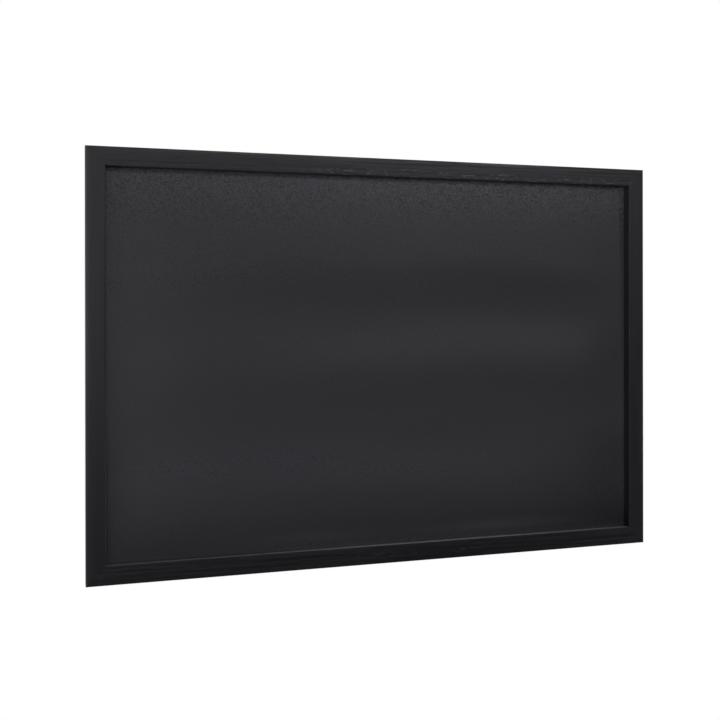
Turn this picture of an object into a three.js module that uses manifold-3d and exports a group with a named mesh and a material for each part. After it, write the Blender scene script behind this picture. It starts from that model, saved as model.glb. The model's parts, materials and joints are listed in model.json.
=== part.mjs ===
// Wall chalkboard: a mitred, black-stained wood frame around a recessed writing panel, with its
// corner nails, panel points, hangers and wall pads on the back.
// Millimetres. +Z is up and the front faces -Y. The origin is the middle of the top rail's back face.

import * as THREE from 'three';
import { mergeVertices } from 'three/addons/utils/BufferGeometryUtils.js';
import Module from 'manifold-3d';

const wasm = await Module();
wasm.setup();

// Writing opening, as seen from the front
const openingWidth = 600;
const openingHeight = 400;

// Frame moulding: one section serves all four sides
const railFace = 19.5;
const railDepth = 18;
const lipThickness = 10;
const rabbetWidth = 7;
const outerArrisRadius = 1;
const innerArrisRadius = 0.4;
const backArrisRadius = 0.5;
const glueLine = 0.1;

// Writing panel
const panelThickness = 3;
const panelClearance = 0.5;
const panelCornerRadius = 1;
const panelEdgeChamfer = 0.3;

// Gaps left between pieces that touch: a flat seat, and metal driven into wood
const seatGap = 0.1;
const driveGap = 0.3;

// Folded V-nails across each mitre, driven in from the back
const vNailThickness = 0.5;
const vNailLeg = 4.2;
const vNailCurl = 0.8;
const vNailHeight = 10;
const vNailSink = 0.4;
const vNailPlaceShares = [0.3, 0.65];

// Framer's points that hold the panel against the lip
const pointWidth = 6;
const pointLength = 14;
const pointBite = 5;
const pointThickness = 0.6;
const pointCornerRadius = 0.6;
const pointTipWidthShare = 0.3;
const pointTaperStartShare = 0.35;
const pointsPerRail = 4;
const pointsPerStile = 2;

// Hangers: a folded strap, the D-ring in its fold, and one screw
const hangerDrop = 70;
const strapWidth = 7;
const strapThickness = 0.7;
const strapTail = 4.2;
const strapEndRoundShare = 0.92;
const leafGap = 0.2;
const neckAngleShare = 0.28;
const wireDiameter = 1.5;
const wireClearance = 0.3;
const ringSidePlay = 0.5;
const ringOpeningHeight = 8.5;
const ringCornerRadius = 1.6;
const ringJoint = 0.4;
const ringRestGap = 0.3;

// Pan-head wood screw with a cross recess
const screwHeadDiameter = 5.5;
const screwHeadHeight = 1.7;
const screwShankDiameter = 2.9;
const screwShankLength = 12;
const screwTipLength = 3;
const screwHeadClearance = 0.8;
const recessSpan = 3.1;
const recessWidth = 0.9;
const recessDepth = 1;
const headRimShare = 0.35;

// Round rubber wall pads
const padDiameter = 10;
const padThickness = 4;
const padRimRadius = 1.2;
const padInset = 32;

// How finely round shapes are divided
const arcSteps = 4;
const wireSides = 8;
const wireSteps = 56;
const foldSteps = 14;
const roundSides = 32;

// How far every cutting shape runs past the face it opens
const overrun = 1;

// Sizes and places that follow from the ones above
const outerWidth = openingWidth + 2 * railFace;
const outerHeight = openingHeight + 2 * railFace;
const backWidth = railFace - rabbetWidth;
const mitreLength = backWidth * Math.SQRT2;
const boardCentreZ = backWidth / 2 - outerHeight / 2;
const panelWidth = openingWidth + 2 * (rabbetWidth - panelClearance);
const panelHeight = openingHeight + 2 * (rabbetWidth - panelClearance);
const panelFrontY = lipThickness - railDepth + seatGap;
const panelBackY = panelFrontY + panelThickness;
const pointFrontY = panelBackY + seatGap;
const foldRadius = wireDiameter / 2 + wireClearance + strapThickness / 2;
const innerLeafY = seatGap + strapThickness / 2;
const outerLeafY = innerLeafY + strapThickness + leafGap;
const strapBackY = outerLeafY + strapThickness / 2;
const eyeY = innerLeafY + foldRadius;
const eyeZ = outerHeight / 2 - hangerDrop;
const hangerX = outerWidth / 2 - backWidth / 2;
const ringHalfWidth = strapWidth / 2 + ringSidePlay + wireDiameter / 2;
const ringReach = ringOpeningHeight + wireDiameter;
const ringRestTilt = Math.asin((strapBackY + ringRestGap + wireDiameter / 2 - eyeY) / ringReach);
const screwDrop = ringReach + wireDiameter / 2 + screwHeadClearance + screwHeadDiameter / 2;
const strapLength = screwDrop + strapTail;
const screwHoleRadius = screwShankDiameter / 2 + driveGap;

// The four sides: how far each lies from the board's centre, and its turn about Y
const sides = [
  { name: 'top_rail', edge: 'top', length: outerWidth, opening: openingWidth,
    reach: outerHeight / 2, turn: 0, points: pointsPerRail, hangs: false },
  { name: 'right_stile', edge: 'right', length: outerHeight, opening: openingHeight,
    reach: outerWidth / 2, turn: Math.PI / 2, points: pointsPerStile, hangs: true },
  { name: 'bottom_rail', edge: 'bottom', length: outerWidth, opening: openingWidth,
    reach: outerHeight / 2, turn: Math.PI, points: pointsPerRail, hangs: false },
  { name: 'left_stile', edge: 'left', length: outerHeight, opening: openingHeight,
    reach: outerWidth / 2, turn: -Math.PI / 2, points: pointsPerStile, hangs: true },
];

// The four corners: the signs of their place, and the turn from the top right corner
const corners = [
  { name: 'top_right', x: 1, z: 1, turn: 0 },
  { name: 'bottom_right', x: 1, z: -1, turn: Math.PI / 2 },
  { name: 'bottom_left', x: -1, z: -1, turn: Math.PI },
  { name: 'top_left', x: -1, z: 1, turn: -Math.PI / 2 },
];

// A closed geometry as a solid that can be joined and cut
function solid(geometry) {
  const bare = geometry.clone();
  bare.deleteAttribute('normal');
  bare.deleteAttribute('uv');
  const merged = mergeVertices(bare);
  return new wasm.Manifold(new wasm.Mesh({
    numProp: 3,
    vertProperties: new Float32Array(merged.attributes.position.array),
    triVerts: new Uint32Array(merged.index.array),
  }));
}

// A solid back as a geometry with flat faces
function geometryOf(body) {
  const { vertProperties, triVerts } = body.getMesh();
  const indexed = new THREE.BufferGeometry();
  indexed.setAttribute('position', new THREE.BufferAttribute(vertProperties, 3));
  indexed.setIndex(new THREE.BufferAttribute(triVerts, 1));
  const geometry = indexed.toNonIndexed();
  geometry.computeVertexNormals();
  return geometry;
}

// A geometry with every one of the cutters taken out of it
function cut(geometry, cutters) {
  const left = cutters.reduce((body, cutter) => body.subtract(solid(cutter)), solid(geometry));
  return geometryOf(left);
}

// The stations of pieces spread evenly over a length: each stands at the middle of its share
function evenStations(count, length) {
  return Array.from({ length: count }, (_, i) => ((i + 0.5) / count - 0.5) * length);
}

// The arc that rounds one corner of an outline, as points from one straight side to the next
function roundedCorner(before, here, after, radius) {
  const back = before.clone().sub(here).normalize();
  const on = after.clone().sub(here).normalize();
  const halfAngle = Math.acos(back.dot(on)) / 2;
  const centre = back.clone().add(on).normalize().multiplyScalar(radius / Math.sin(halfAngle)).add(here);
  const start = back.clone().multiplyScalar(radius / Math.tan(halfAngle)).add(here);
  const sweep = (Math.PI - 2 * halfAngle) * Math.sign(back.cross(on)) * -1;
  return Array.from({ length: arcSteps + 1 }, (_, i) =>
    start.clone().rotateAround(centre, (sweep * i) / arcSteps));
}

// A closed outline through corners given as [x, y, radius]
function outline(cornerList) {
  const places = cornerList.map(([x, y]) => new THREE.Vector2(x, y));
  const last = places.length - 1;
  const points = cornerList.flatMap(([, , radius], i) => {
    const before = places[i === 0 ? last : i - 1];
    const after = places[i === last ? 0 : i + 1];
    return radius > 0 ? roundedCorner(before, places[i], after, radius) : [places[i]];
  });
  return new THREE.Shape(points);
}

// The outline of a bent strip: its middle line moved half the thickness to each side
function stripOutline(path, thickness) {
  const normals = path.slice(1).map((point, i) => {
    const along = point.clone().sub(path[i]).normalize();
    return new THREE.Vector2(-along.y, along.x);
  });
  const offsets = path.map((_, i) => {
    const before = normals[Math.max(i - 1, 0)];
    const after = normals[Math.min(i, normals.length - 1)];
    return before.clone().add(after).divideScalar(1 + before.dot(after));
  });
  const side = (distance) => path.map((point, i) => point.clone().addScaledVector(offsets[i], distance));
  return new THREE.Shape([...side(thickness / 2), ...side(-thickness / 2).reverse()]);
}

// A path with both of its ends drawn out by the same distance
function drawnOut(path, distance) {
  const end = (tip, next) => tip.clone().sub(next).normalize().multiplyScalar(distance).add(tip);
  return [
    end(path[0], path[1]),
    ...path.slice(1, -1),
    end(path[path.length - 1], path[path.length - 2]),
  ];
}

// An outline drawn in X and Z, made into a plate that runs from backY towards the front
function plate(shape, thickness, backY) {
  const geometry = new THREE.ExtrudeGeometry(shape, { depth: thickness, bevelEnabled: false });
  return geometry.rotateX(Math.PI / 2).translate(0, backY, 0);
}

// A section drawn in Y and Z, made into a bar along X, centred on the origin
function barAlongX(shape, length) {
  const geometry = new THREE.ExtrudeGeometry(shape, { depth: length, bevelEnabled: false });
  const depthToX = new THREE.Matrix4().set(0, 0, 1, 0, 1, 0, 0, 0, 0, 1, 0, 0, 0, 0, 0, 1);
  return geometry.applyMatrix4(depthToX).translate(-length / 2, 0, 0);
}

// A profile of [radius, y] turned about the Y axis
function turned(profile) {
  return new THREE.LatheGeometry(profile.map(([radius, y]) => new THREE.Vector2(radius, y)), roundSides);
}

// The moulding's section: the outer edge is at z 0, the back at y 0, and the lip shows at the front
function mouldingSection() {
  const lipBackY = lipThickness - railDepth;
  return outline([
    [0, 0, backArrisRadius],
    [-railDepth, 0, outerArrisRadius],
    [-railDepth, -railFace, innerArrisRadius],
    [lipBackY, -railFace, 0],
    [lipBackY, -backWidth, 0],
    [0, -backWidth, 0],
  ]);
}

// A length of moulding with both of its ends cut at 45 degrees, shortest at the opening
function mitredMoulding(length) {
  const geometry = barAlongX(mouldingSection(), length);
  const position = geometry.attributes.position;
  const jointShift = (glueLine / 2) * Math.SQRT2;
  for (let i = 0; i < position.count; i += 1) {
    const end = Math.sign(position.getX(i));
    position.setX(i, end * (length / 2 + position.getZ(i) - jointShift));
  }
  return geometry;
}

// The middle line of a V-nail: its point at the origin, its legs along both rails, its tips curled
function vNailPath() {
  const straight = vNailLeg - vNailCurl;
  return [
    new THREE.Vector2(-vNailLeg, vNailCurl),
    new THREE.Vector2(-straight, 0),
    new THREE.Vector2(0, 0),
    new THREE.Vector2(0, -straight),
    new THREE.Vector2(vNailCurl, -vNailLeg),
  ];
}

function vNail() {
  return plate(stripOutline(vNailPath(), vNailThickness), vNailHeight, -vNailSink);
}

// The slot that a V-nail makes, open at the back face
function vNailSlot() {
  const shape = stripOutline(drawnOut(vNailPath(), driveGap), vNailThickness + 2 * driveGap);
  return plate(shape, overrun + vNailSink + vNailHeight + driveGap, overrun);
}

// How far in from the outer corner each V-nail stands, along both rails alike
function vNailInsets() {
  return vNailPlaceShares.map((share) => (share * mitreLength) / Math.SQRT2);
}

// The V-nail slots at both ends of a side
function mitreSlots(length) {
  return vNailInsets().flatMap((inset) => [
    vNailSlot().translate(length / 2 - inset, 0, -inset),
    vNailSlot().translate(-inset, 0, -inset).rotateY(-Math.PI / 2).translate(-length / 2, 0, 0),
  ]);
}

// A framer's point: a flat tab over the panel, with a tapered tip that bites into the rabbet wall
function panelPoint() {
  const half = pointWidth / 2;
  const tail = pointLength - pointBite;
  const tipHalf = half * pointTipWidthShare;
  const taperStart = pointBite * pointTaperStartShare;
  const shape = outline([
    [-half, -tail, pointCornerRadius],
    [half, -tail, pointCornerRadius],
    [half, taperStart, 0],
    [tipHalf, pointBite, 0],
    [-tipHalf, pointBite, 0],
    [-half, taperStart, 0],
  ]);
  return plate(shape, pointThickness, pointFrontY + pointThickness);
}

// The slot that a framer's point makes in the rabbet wall
function panelPointSlot() {
  const depth = overrun + pointBite + driveGap;
  const slot = new THREE.BoxGeometry(pointWidth + 2 * driveGap, pointThickness + 2 * driveGap, depth);
  return slot.translate(0, pointFrontY + pointThickness / 2, depth / 2 - overrun);
}

function pointSlots(side) {
  return evenStations(side.points, side.opening).map((station) =>
    panelPointSlot().translate(station, 0, -backWidth));
}

// The pilot hole of a hanger's screw, in the side's own frame
function screwHoles(side) {
  if (!side.hangs) return [];
  const station = -Math.sin(side.turn) * (eyeZ - screwDrop);
  const depth = overrun + screwShankLength - strapBackY + driveGap;
  const hole = new THREE.CylinderGeometry(screwHoleRadius, screwHoleRadius, depth, roundSides);
  return [hole.translate(station, overrun - depth / 2, -backWidth / 2)];
}

function frameSide(side) {
  return cut(mitredMoulding(side.length), [
    ...mitreSlots(side.length),
    ...pointSlots(side),
    ...screwHoles(side),
  ]);
}

// The writing panel, with eased corners and edges
function chalkPanel() {
  const halfWidth = panelWidth / 2;
  const halfHeight = panelHeight / 2;
  const shape = outline([
    [-halfWidth, -halfHeight, panelCornerRadius],
    [halfWidth, -halfHeight, panelCornerRadius],
    [halfWidth, halfHeight, panelCornerRadius],
    [-halfWidth, halfHeight, panelCornerRadius],
  ]);
  const geometry = new THREE.ExtrudeGeometry(shape, {
    depth: panelThickness - 2 * panelEdgeChamfer,
    bevelEnabled: true,
    bevelThickness: panelEdgeChamfer,
    bevelSize: panelEdgeChamfer,
    bevelOffset: -panelEdgeChamfer,
    bevelSegments: 1,
  });
  return geometry.rotateX(Math.PI / 2).translate(0, panelBackY - panelEdgeChamfer, 0);
}

// The fold of the strap in Y and Z: up the inner leaf, round the eye, and down the outer leaf
function foldPath() {
  const from = Math.PI;
  const to = -Math.PI * neckAngleShare;
  const arc = Array.from({ length: foldSteps + 1 }, (_, i) => {
    const angle = from + ((to - from) * i) / foldSteps;
    return new THREE.Vector2(eyeY + foldRadius * Math.cos(angle), foldRadius * Math.sin(angle));
  });
  const leave = arc[arc.length - 1];
  const neckDrop = (leave.x - outerLeafY) / Math.tan(-to);
  return [
    new THREE.Vector2(innerLeafY, -strapLength),
    ...arc,
    new THREE.Vector2(outerLeafY, leave.y - neckDrop),
    new THREE.Vector2(outerLeafY, -strapLength),
  ];
}

// The strap: the folded strip, its lower end rounded, with the screw's hole through both leaves
function hangerStrap() {
  const half = strapWidth / 2;
  const top = foldRadius + strapThickness + overrun;
  const back = eyeY + top;
  const outside = outline([
    [-half, -strapLength, half * strapEndRoundShare],
    [half, -strapLength, half * strapEndRoundShare],
    [half, top, 0],
    [-half, top, 0],
  ]);
  const folded = solid(barAlongX(stripOutline(foldPath(), strapThickness), strapWidth + 2 * overrun));
  const trimmed = folded.intersect(solid(plate(outside, back + overrun, back)));
  const hole = new THREE.CylinderGeometry(screwHoleRadius, screwHoleRadius, 2 * back, roundSides);
  return geometryOf(trimmed.subtract(solid(hole.translate(0, 0, -screwDrop))));
}

// A circular arc in the X and Z plane
class RingArc extends THREE.Curve {
  constructor(x, z, radius, from, to) {
    super();
    Object.assign(this, { x, z, radius, from, to });
  }

  getPoint(t, target = new THREE.Vector3()) {
    const angle = this.from + (this.to - this.from) * t;
    return target.set(
      this.x + this.radius * Math.cos(angle), 0, this.z + this.radius * Math.sin(angle));
  }
}

// The middle line of the D-ring's wire, from one side of its butt joint round to the other
function ringLine() {
  const cornerX = ringHalfWidth - ringCornerRadius;
  const bowZ = ringHalfWidth - ringReach;
  const at = (x, z) => new THREE.Vector3(x, 0, z);
  const line = new THREE.CurvePath();
  line.add(new THREE.LineCurve3(at(ringJoint / 2, 0), at(cornerX, 0)));
  line.add(new RingArc(cornerX, -ringCornerRadius, ringCornerRadius, Math.PI / 2, 0));
  line.add(new THREE.LineCurve3(at(ringHalfWidth, -ringCornerRadius), at(ringHalfWidth, bowZ)));
  line.add(new RingArc(0, bowZ, ringHalfWidth, 0, -Math.PI));
  line.add(new THREE.LineCurve3(at(-ringHalfWidth, bowZ), at(-ringHalfWidth, -ringCornerRadius)));
  line.add(new RingArc(-cornerX, -ringCornerRadius, ringCornerRadius, Math.PI, Math.PI / 2));
  line.add(new THREE.LineCurve3(at(-cornerX, 0), at(-ringJoint / 2, 0)));
  return line;
}

function wireSection() {
  return new THREE.Shape(Array.from({ length: wireSides }, (_, i) => {
    const angle = (2 * Math.PI * i) / wireSides;
    return new THREE.Vector2(Math.cos(angle), Math.sin(angle)).multiplyScalar(wireDiameter / 2);
  }));
}

function hangerRing() {
  return new THREE.ExtrudeGeometry(wireSection(), {
    steps: wireSteps,
    extrudePath: ringLine(),
    bevelEnabled: false,
  });
}

// A pan-head screw along Y: its tip at the front, the underside of its head at y 0
function hangerScrew() {
  const shank = screwShankDiameter / 2;
  const head = screwHeadDiameter / 2;
  const rim = screwHeadHeight * headRimShare;
  const crown = screwHeadHeight - rim;
  const dome = Array.from({ length: arcSteps + 1 }, (_, i) => {
    const angle = ((Math.PI / 2) * i) / arcSteps;
    return [head * Math.cos(angle), rim + crown * Math.sin(angle)];
  });
  const body = turned([
    [0, -screwShankLength],
    [shank, screwTipLength - screwShankLength],
    [shank, 0],
    [head, 0],
    ...dome,
  ]);
  const slotHeight = recessDepth + overrun;
  const slotY = screwHeadHeight - recessDepth + slotHeight / 2;
  return cut(body, [
    new THREE.BoxGeometry(recessSpan, slotHeight, recessWidth).translate(0, slotY, 0),
    new THREE.BoxGeometry(recessWidth, slotHeight, recessSpan).translate(0, slotY, 0),
  ]);
}

// A wall pad along Y: stuck down at y 0, flat where it meets the wall, with a rounded rim
function wallPad() {
  const radius = padDiameter / 2;
  const rim = Array.from({ length: arcSteps + 1 }, (_, i) => {
    const angle = ((Math.PI / 2) * i) / arcSteps;
    return [
      radius - padRimRadius * (1 - Math.cos(angle)),
      padThickness - padRimRadius * (1 - Math.sin(angle)),
    ];
  });
  return turned([[0, 0], [radius, 0], ...rim, [0, padThickness]]);
}

function finish(color, roughness, metalness = 0) {
  return new THREE.MeshStandardMaterial({ color, roughness, metalness });
}

const blackStainedWood = () => finish(0x2d2d30, 0.42);
const writingCoat = () => finish(0x323236, 0.6);
const padRubber = () => finish(0x1c1c1d, 0.8);
const springSteel = () => finish(0x8b8d90, 0.4, 1);
const blackenedSteel = () => finish(0x4a4b4e, 0.5, 1);
const zincPlatedSteel = () => finish(0xb4b7ba, 0.35, 1);

function named(name, geometry, material) {
  const mesh = new THREE.Mesh(geometry, material);
  mesh.name = name;
  return mesh;
}

// One side of the frame with the framer's points that are driven into it
function sideGroup(side) {
  const group = new THREE.Group();
  group.rotation.y = side.turn;
  group.position.set(Math.sin(side.turn) * side.reach, 0, Math.cos(side.turn) * side.reach);
  group.add(named(side.name, frameSide(side), blackStainedWood()));
  evenStations(side.points, side.opening).forEach((station, i) => {
    const point = named(`panel_point_${side.edge}_${i + 1}`, panelPoint(), blackenedSteel());
    point.position.set(station, 0, -backWidth);
    group.add(point);
  });
  return group;
}

// The V-nails of one corner, the first nearer to the outer corner
function cornerGroup(corner) {
  const group = new THREE.Group();
  group.rotation.y = corner.turn;
  group.position.set((corner.x * outerWidth) / 2, 0, (corner.z * outerHeight) / 2);
  vNailInsets().forEach((inset, i) => {
    const nail = named(`v_nail_${corner.name}_${i + 1}`, vNail(), springSteel());
    nail.position.set(-inset, 0, -inset);
    group.add(nail);
  });
  return group;
}

// One hanger on the back of a stile, its ring hanging against the strap
function hangerGroup(name, sign) {
  const group = new THREE.Group();
  group.position.set(sign * hangerX, 0, eyeZ);
  group.add(named(`${name}_hanger_strap`, hangerStrap(), zincPlatedSteel()));
  const ring = named(`${name}_ring`, hangerRing(), zincPlatedSteel());
  ring.position.y = eyeY;
  ring.rotation.x = ringRestTilt;
  const screw = named(`${name}_hanger_screw`, hangerScrew(), zincPlatedSteel());
  screw.position.set(0, strapBackY + seatGap, -screwDrop);
  group.add(ring, screw);
  return group;
}

function cornerPad(corner) {
  const pad = named(`wall_pad_${corner.name}`, wallPad(), padRubber());
  pad.position.set(corner.x * hangerX, seatGap, corner.z * (outerHeight / 2 - padInset));
  return pad;
}

const chalkboard = new THREE.Group();
chalkboard.position.z = boardCentreZ;
chalkboard.add(
  ...sides.map(sideGroup),
  named('chalk_panel', chalkPanel(), writingCoat()),
  ...corners.map(cornerGroup),
  hangerGroup('left', -1),
  hangerGroup('right', 1),
  ...corners.map(cornerPad),
);

export default chalkboard;
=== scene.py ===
"""The finished look of a wall chalkboard: a mitred, black-stained wood frame round a recessed
charcoal writing panel, with the nails, points, hangers and pads on its back.

Everything is in metres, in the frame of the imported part: +Z is up and the writing face looks
along -Y. Each operator makes one piece, or one group of like pieces, at its place.
"""

import json
import math

import bmesh
import bpy
from bpy.props import FloatProperty, FloatVectorProperty, PointerProperty
from mathutils import Euler, Matrix, Vector


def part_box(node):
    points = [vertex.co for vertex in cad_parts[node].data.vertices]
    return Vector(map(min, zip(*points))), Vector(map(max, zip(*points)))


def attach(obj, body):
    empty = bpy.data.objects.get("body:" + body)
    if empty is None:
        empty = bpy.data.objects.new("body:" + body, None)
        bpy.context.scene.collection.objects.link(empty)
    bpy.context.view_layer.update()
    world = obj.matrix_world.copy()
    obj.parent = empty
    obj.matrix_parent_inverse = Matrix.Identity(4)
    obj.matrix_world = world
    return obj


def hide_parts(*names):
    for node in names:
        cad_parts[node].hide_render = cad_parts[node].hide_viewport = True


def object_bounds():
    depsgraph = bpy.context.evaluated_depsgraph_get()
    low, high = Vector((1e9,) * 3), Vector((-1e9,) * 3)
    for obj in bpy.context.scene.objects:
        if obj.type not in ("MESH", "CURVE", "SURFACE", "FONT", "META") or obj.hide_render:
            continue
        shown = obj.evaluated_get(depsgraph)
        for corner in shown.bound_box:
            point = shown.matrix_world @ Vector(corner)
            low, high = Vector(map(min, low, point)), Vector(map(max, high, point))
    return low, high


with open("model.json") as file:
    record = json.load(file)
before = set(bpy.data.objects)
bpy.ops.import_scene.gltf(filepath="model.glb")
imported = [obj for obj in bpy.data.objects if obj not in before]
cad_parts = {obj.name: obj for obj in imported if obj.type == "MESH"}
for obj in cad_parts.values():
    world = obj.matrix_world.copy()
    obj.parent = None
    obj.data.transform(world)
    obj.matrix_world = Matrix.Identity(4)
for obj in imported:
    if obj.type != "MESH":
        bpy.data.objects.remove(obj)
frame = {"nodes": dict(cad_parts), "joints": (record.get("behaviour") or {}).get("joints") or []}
cad_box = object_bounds()

bl_info = {
    "name": "Wall Chalkboard",
    "version": (1, 0, 0),
    "blender": (4, 5, 0),
    "location": "3D View > Sidebar > Chalkboard",
    "description": "Builds a framed wall chalkboard piece by piece, with its hardware",
    "category": "Object",
}

MM = 0.001
FRAME_BODY = "frame"

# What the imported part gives: the moulding, the opening and the panel
rail_low, rail_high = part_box("top_rail")
stile_low, stile_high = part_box("left_stile")
panel_low, panel_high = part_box("chalk_panel")
RAIL_FACE = rail_high.z - rail_low.z
RAIL_DEPTH = rail_high.y - rail_low.y
OUTER_WIDTH = rail_high.x - rail_low.x
OUTER_HEIGHT = stile_high.z - stile_low.z
OPENING_WIDTH = OUTER_WIDTH - 2 * RAIL_FACE
BOARD_CENTRE_Z = (stile_low.z + stile_high.z) / 2

# Gaps in the joinery that its boxes don't give
SEAT_GAP = 0.1 * MM
DRIVE_GAP = 0.3 * MM
PANEL_EDGE_GAP = 0.5 * MM
LIP_THICKNESS = RAIL_DEPTH + panel_low.y - SEAT_GAP
RABBET_WIDTH = (panel_high.x - panel_low.x - OPENING_WIDTH) / 2 + PANEL_EDGE_GAP
BACK_WIDTH = RAIL_FACE - RABBET_WIDTH

# How far each cutter runs past the face that it opens, and how near points are merged
OVERRUN = 1 * MM
MERGE_GAP = 0.0001 * MM

CORNER_TURNS = {
    "top_right": 0,
    "bottom_right": math.pi / 2,
    "bottom_left": math.pi,
    "top_left": -math.pi / 2,
}


def nodes_named(start):
    """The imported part's nodes whose names begin so, in order."""
    return sorted(name for name in frame["nodes"] if name.startswith(start))


def centre_of(node):
    """The middle of a node's box."""
    low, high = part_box(node)
    return (low + high) / 2


class BoardSizes(bpy.types.PropertyGroup):
    """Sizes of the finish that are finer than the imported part."""

    outer_arris: FloatProperty(
        name="Outer Arris", description="Radius of the sanded outer edge at the front",
        default=1.0 * MM, min=0, unit="LENGTH")
    inner_arris: FloatProperty(
        name="Inner Arris", description="Radius of the front edge round the opening",
        default=0.4 * MM, min=0, unit="LENGTH")
    face_crown: FloatProperty(
        name="Face Crown", description="How far the front faces fall away towards their edges",
        default=0.2 * MM, min=0, unit="LENGTH")
    back_arris: FloatProperty(
        name="Back Arris", description="Radius of the outer edge at the back",
        default=0.5 * MM, min=0, unit="LENGTH")
    saw_arris: FloatProperty(
        name="Saw Arris", description="Radius of the edges inside the rabbet",
        default=0.2 * MM, min=0, unit="LENGTH")
    glue_line: FloatProperty(
        name="Glue Line", description="Gap between two mitred ends",
        default=0.02 * MM, min=0, unit="LENGTH")
    hand_sanding: FloatProperty(
        name="Hand Sanding", description="Depth of the soft hollows that sanding left in the wood",
        default=0.06 * MM, min=0, unit="LENGTH")
    # How bright the painted highlight on the bottom rail's lip is, which stands for light falling on
    # the lip
    rubbed_edge: FloatProperty(
        name="Rubbed Edge", description="How pale the duster has rubbed the bottom rail's lip",
        default=1.0, min=0, max=1, subtype="FACTOR")
    panel_bow: FloatProperty(
        name="Panel Bow", description="Height of the long waves across the writing panel",
        default=2.3 * MM, min=0, unit="LENGTH")
    wave_pitch: FloatProperty(
        name="Wave Pitch", description="Distance from one wave of the panel to the next",
        default=128 * MM, min=10 * MM, unit="LENGTH")
    side_bow: FloatProperty(
        name="Side Bow", description="Height of the upright waves in the writing panel",
        default=0.35 * MM, min=0, unit="LENGTH")
    side_pitch: FloatProperty(
        name="Side Pitch", description="Distance from one upright wave to the next",
        default=250 * MM, min=10 * MM, unit="LENGTH")
    panel_cell: FloatProperty(
        name="Panel Cell", description="Size of the faces that follow the panel's waves",
        default=4 * MM, min=1 * MM, unit="LENGTH")


class BoardFinishes(bpy.types.PropertyGroup):
    """Colours of the board's materials."""

    stain: FloatVectorProperty(
        name="Stain", description="Colour of the black-stained wood",
        default=(0.0044, 0.0044, 0.0056), size=3, min=0, max=1, subtype="COLOR")
    writing_coat: FloatVectorProperty(
        name="Writing Coat", description="Colour of the charcoal coat on the panel",
        default=(0.0341, 0.0340, 0.0367), size=3, min=0, max=1, subtype="COLOR")
    fibreboard: FloatVectorProperty(
        name="Fibreboard", description="Colour of the panel's bare back",
        default=(0.150, 0.079, 0.038), size=3, min=0, max=1, subtype="COLOR")
    zinc: FloatVectorProperty(
        name="Zinc", description="Colour of the plated hangers",
        default=(0.58, 0.60, 0.63), size=3, min=0, max=1, subtype="COLOR")
    rubber: FloatVectorProperty(
        name="Rubber", description="Colour of the wall pads",
        default=(0.020, 0.020, 0.021), size=3, min=0, max=1, subtype="COLOR")


class BoardStage(bpy.types.PropertyGroup):
    """The camera and the studio round the board."""

    lens: FloatProperty(
        name="Lens", description="Focal length of the camera", default=43.95, min=10,
        unit="CAMERA")
    yaw: FloatProperty(
        name="Yaw", description="How far the camera is turned to its right",
        default=math.radians(14.931), subtype="ANGLE")
    roll: FloatProperty(
        name="Roll", description="How far the camera leans", default=math.radians(0.084),
        subtype="ANGLE")
    floor_drop: FloatProperty(
        name="Floor Drop", description="Height of the board's lower edge over the floor",
        default=1.15, min=0.1, unit="LENGTH")


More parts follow.
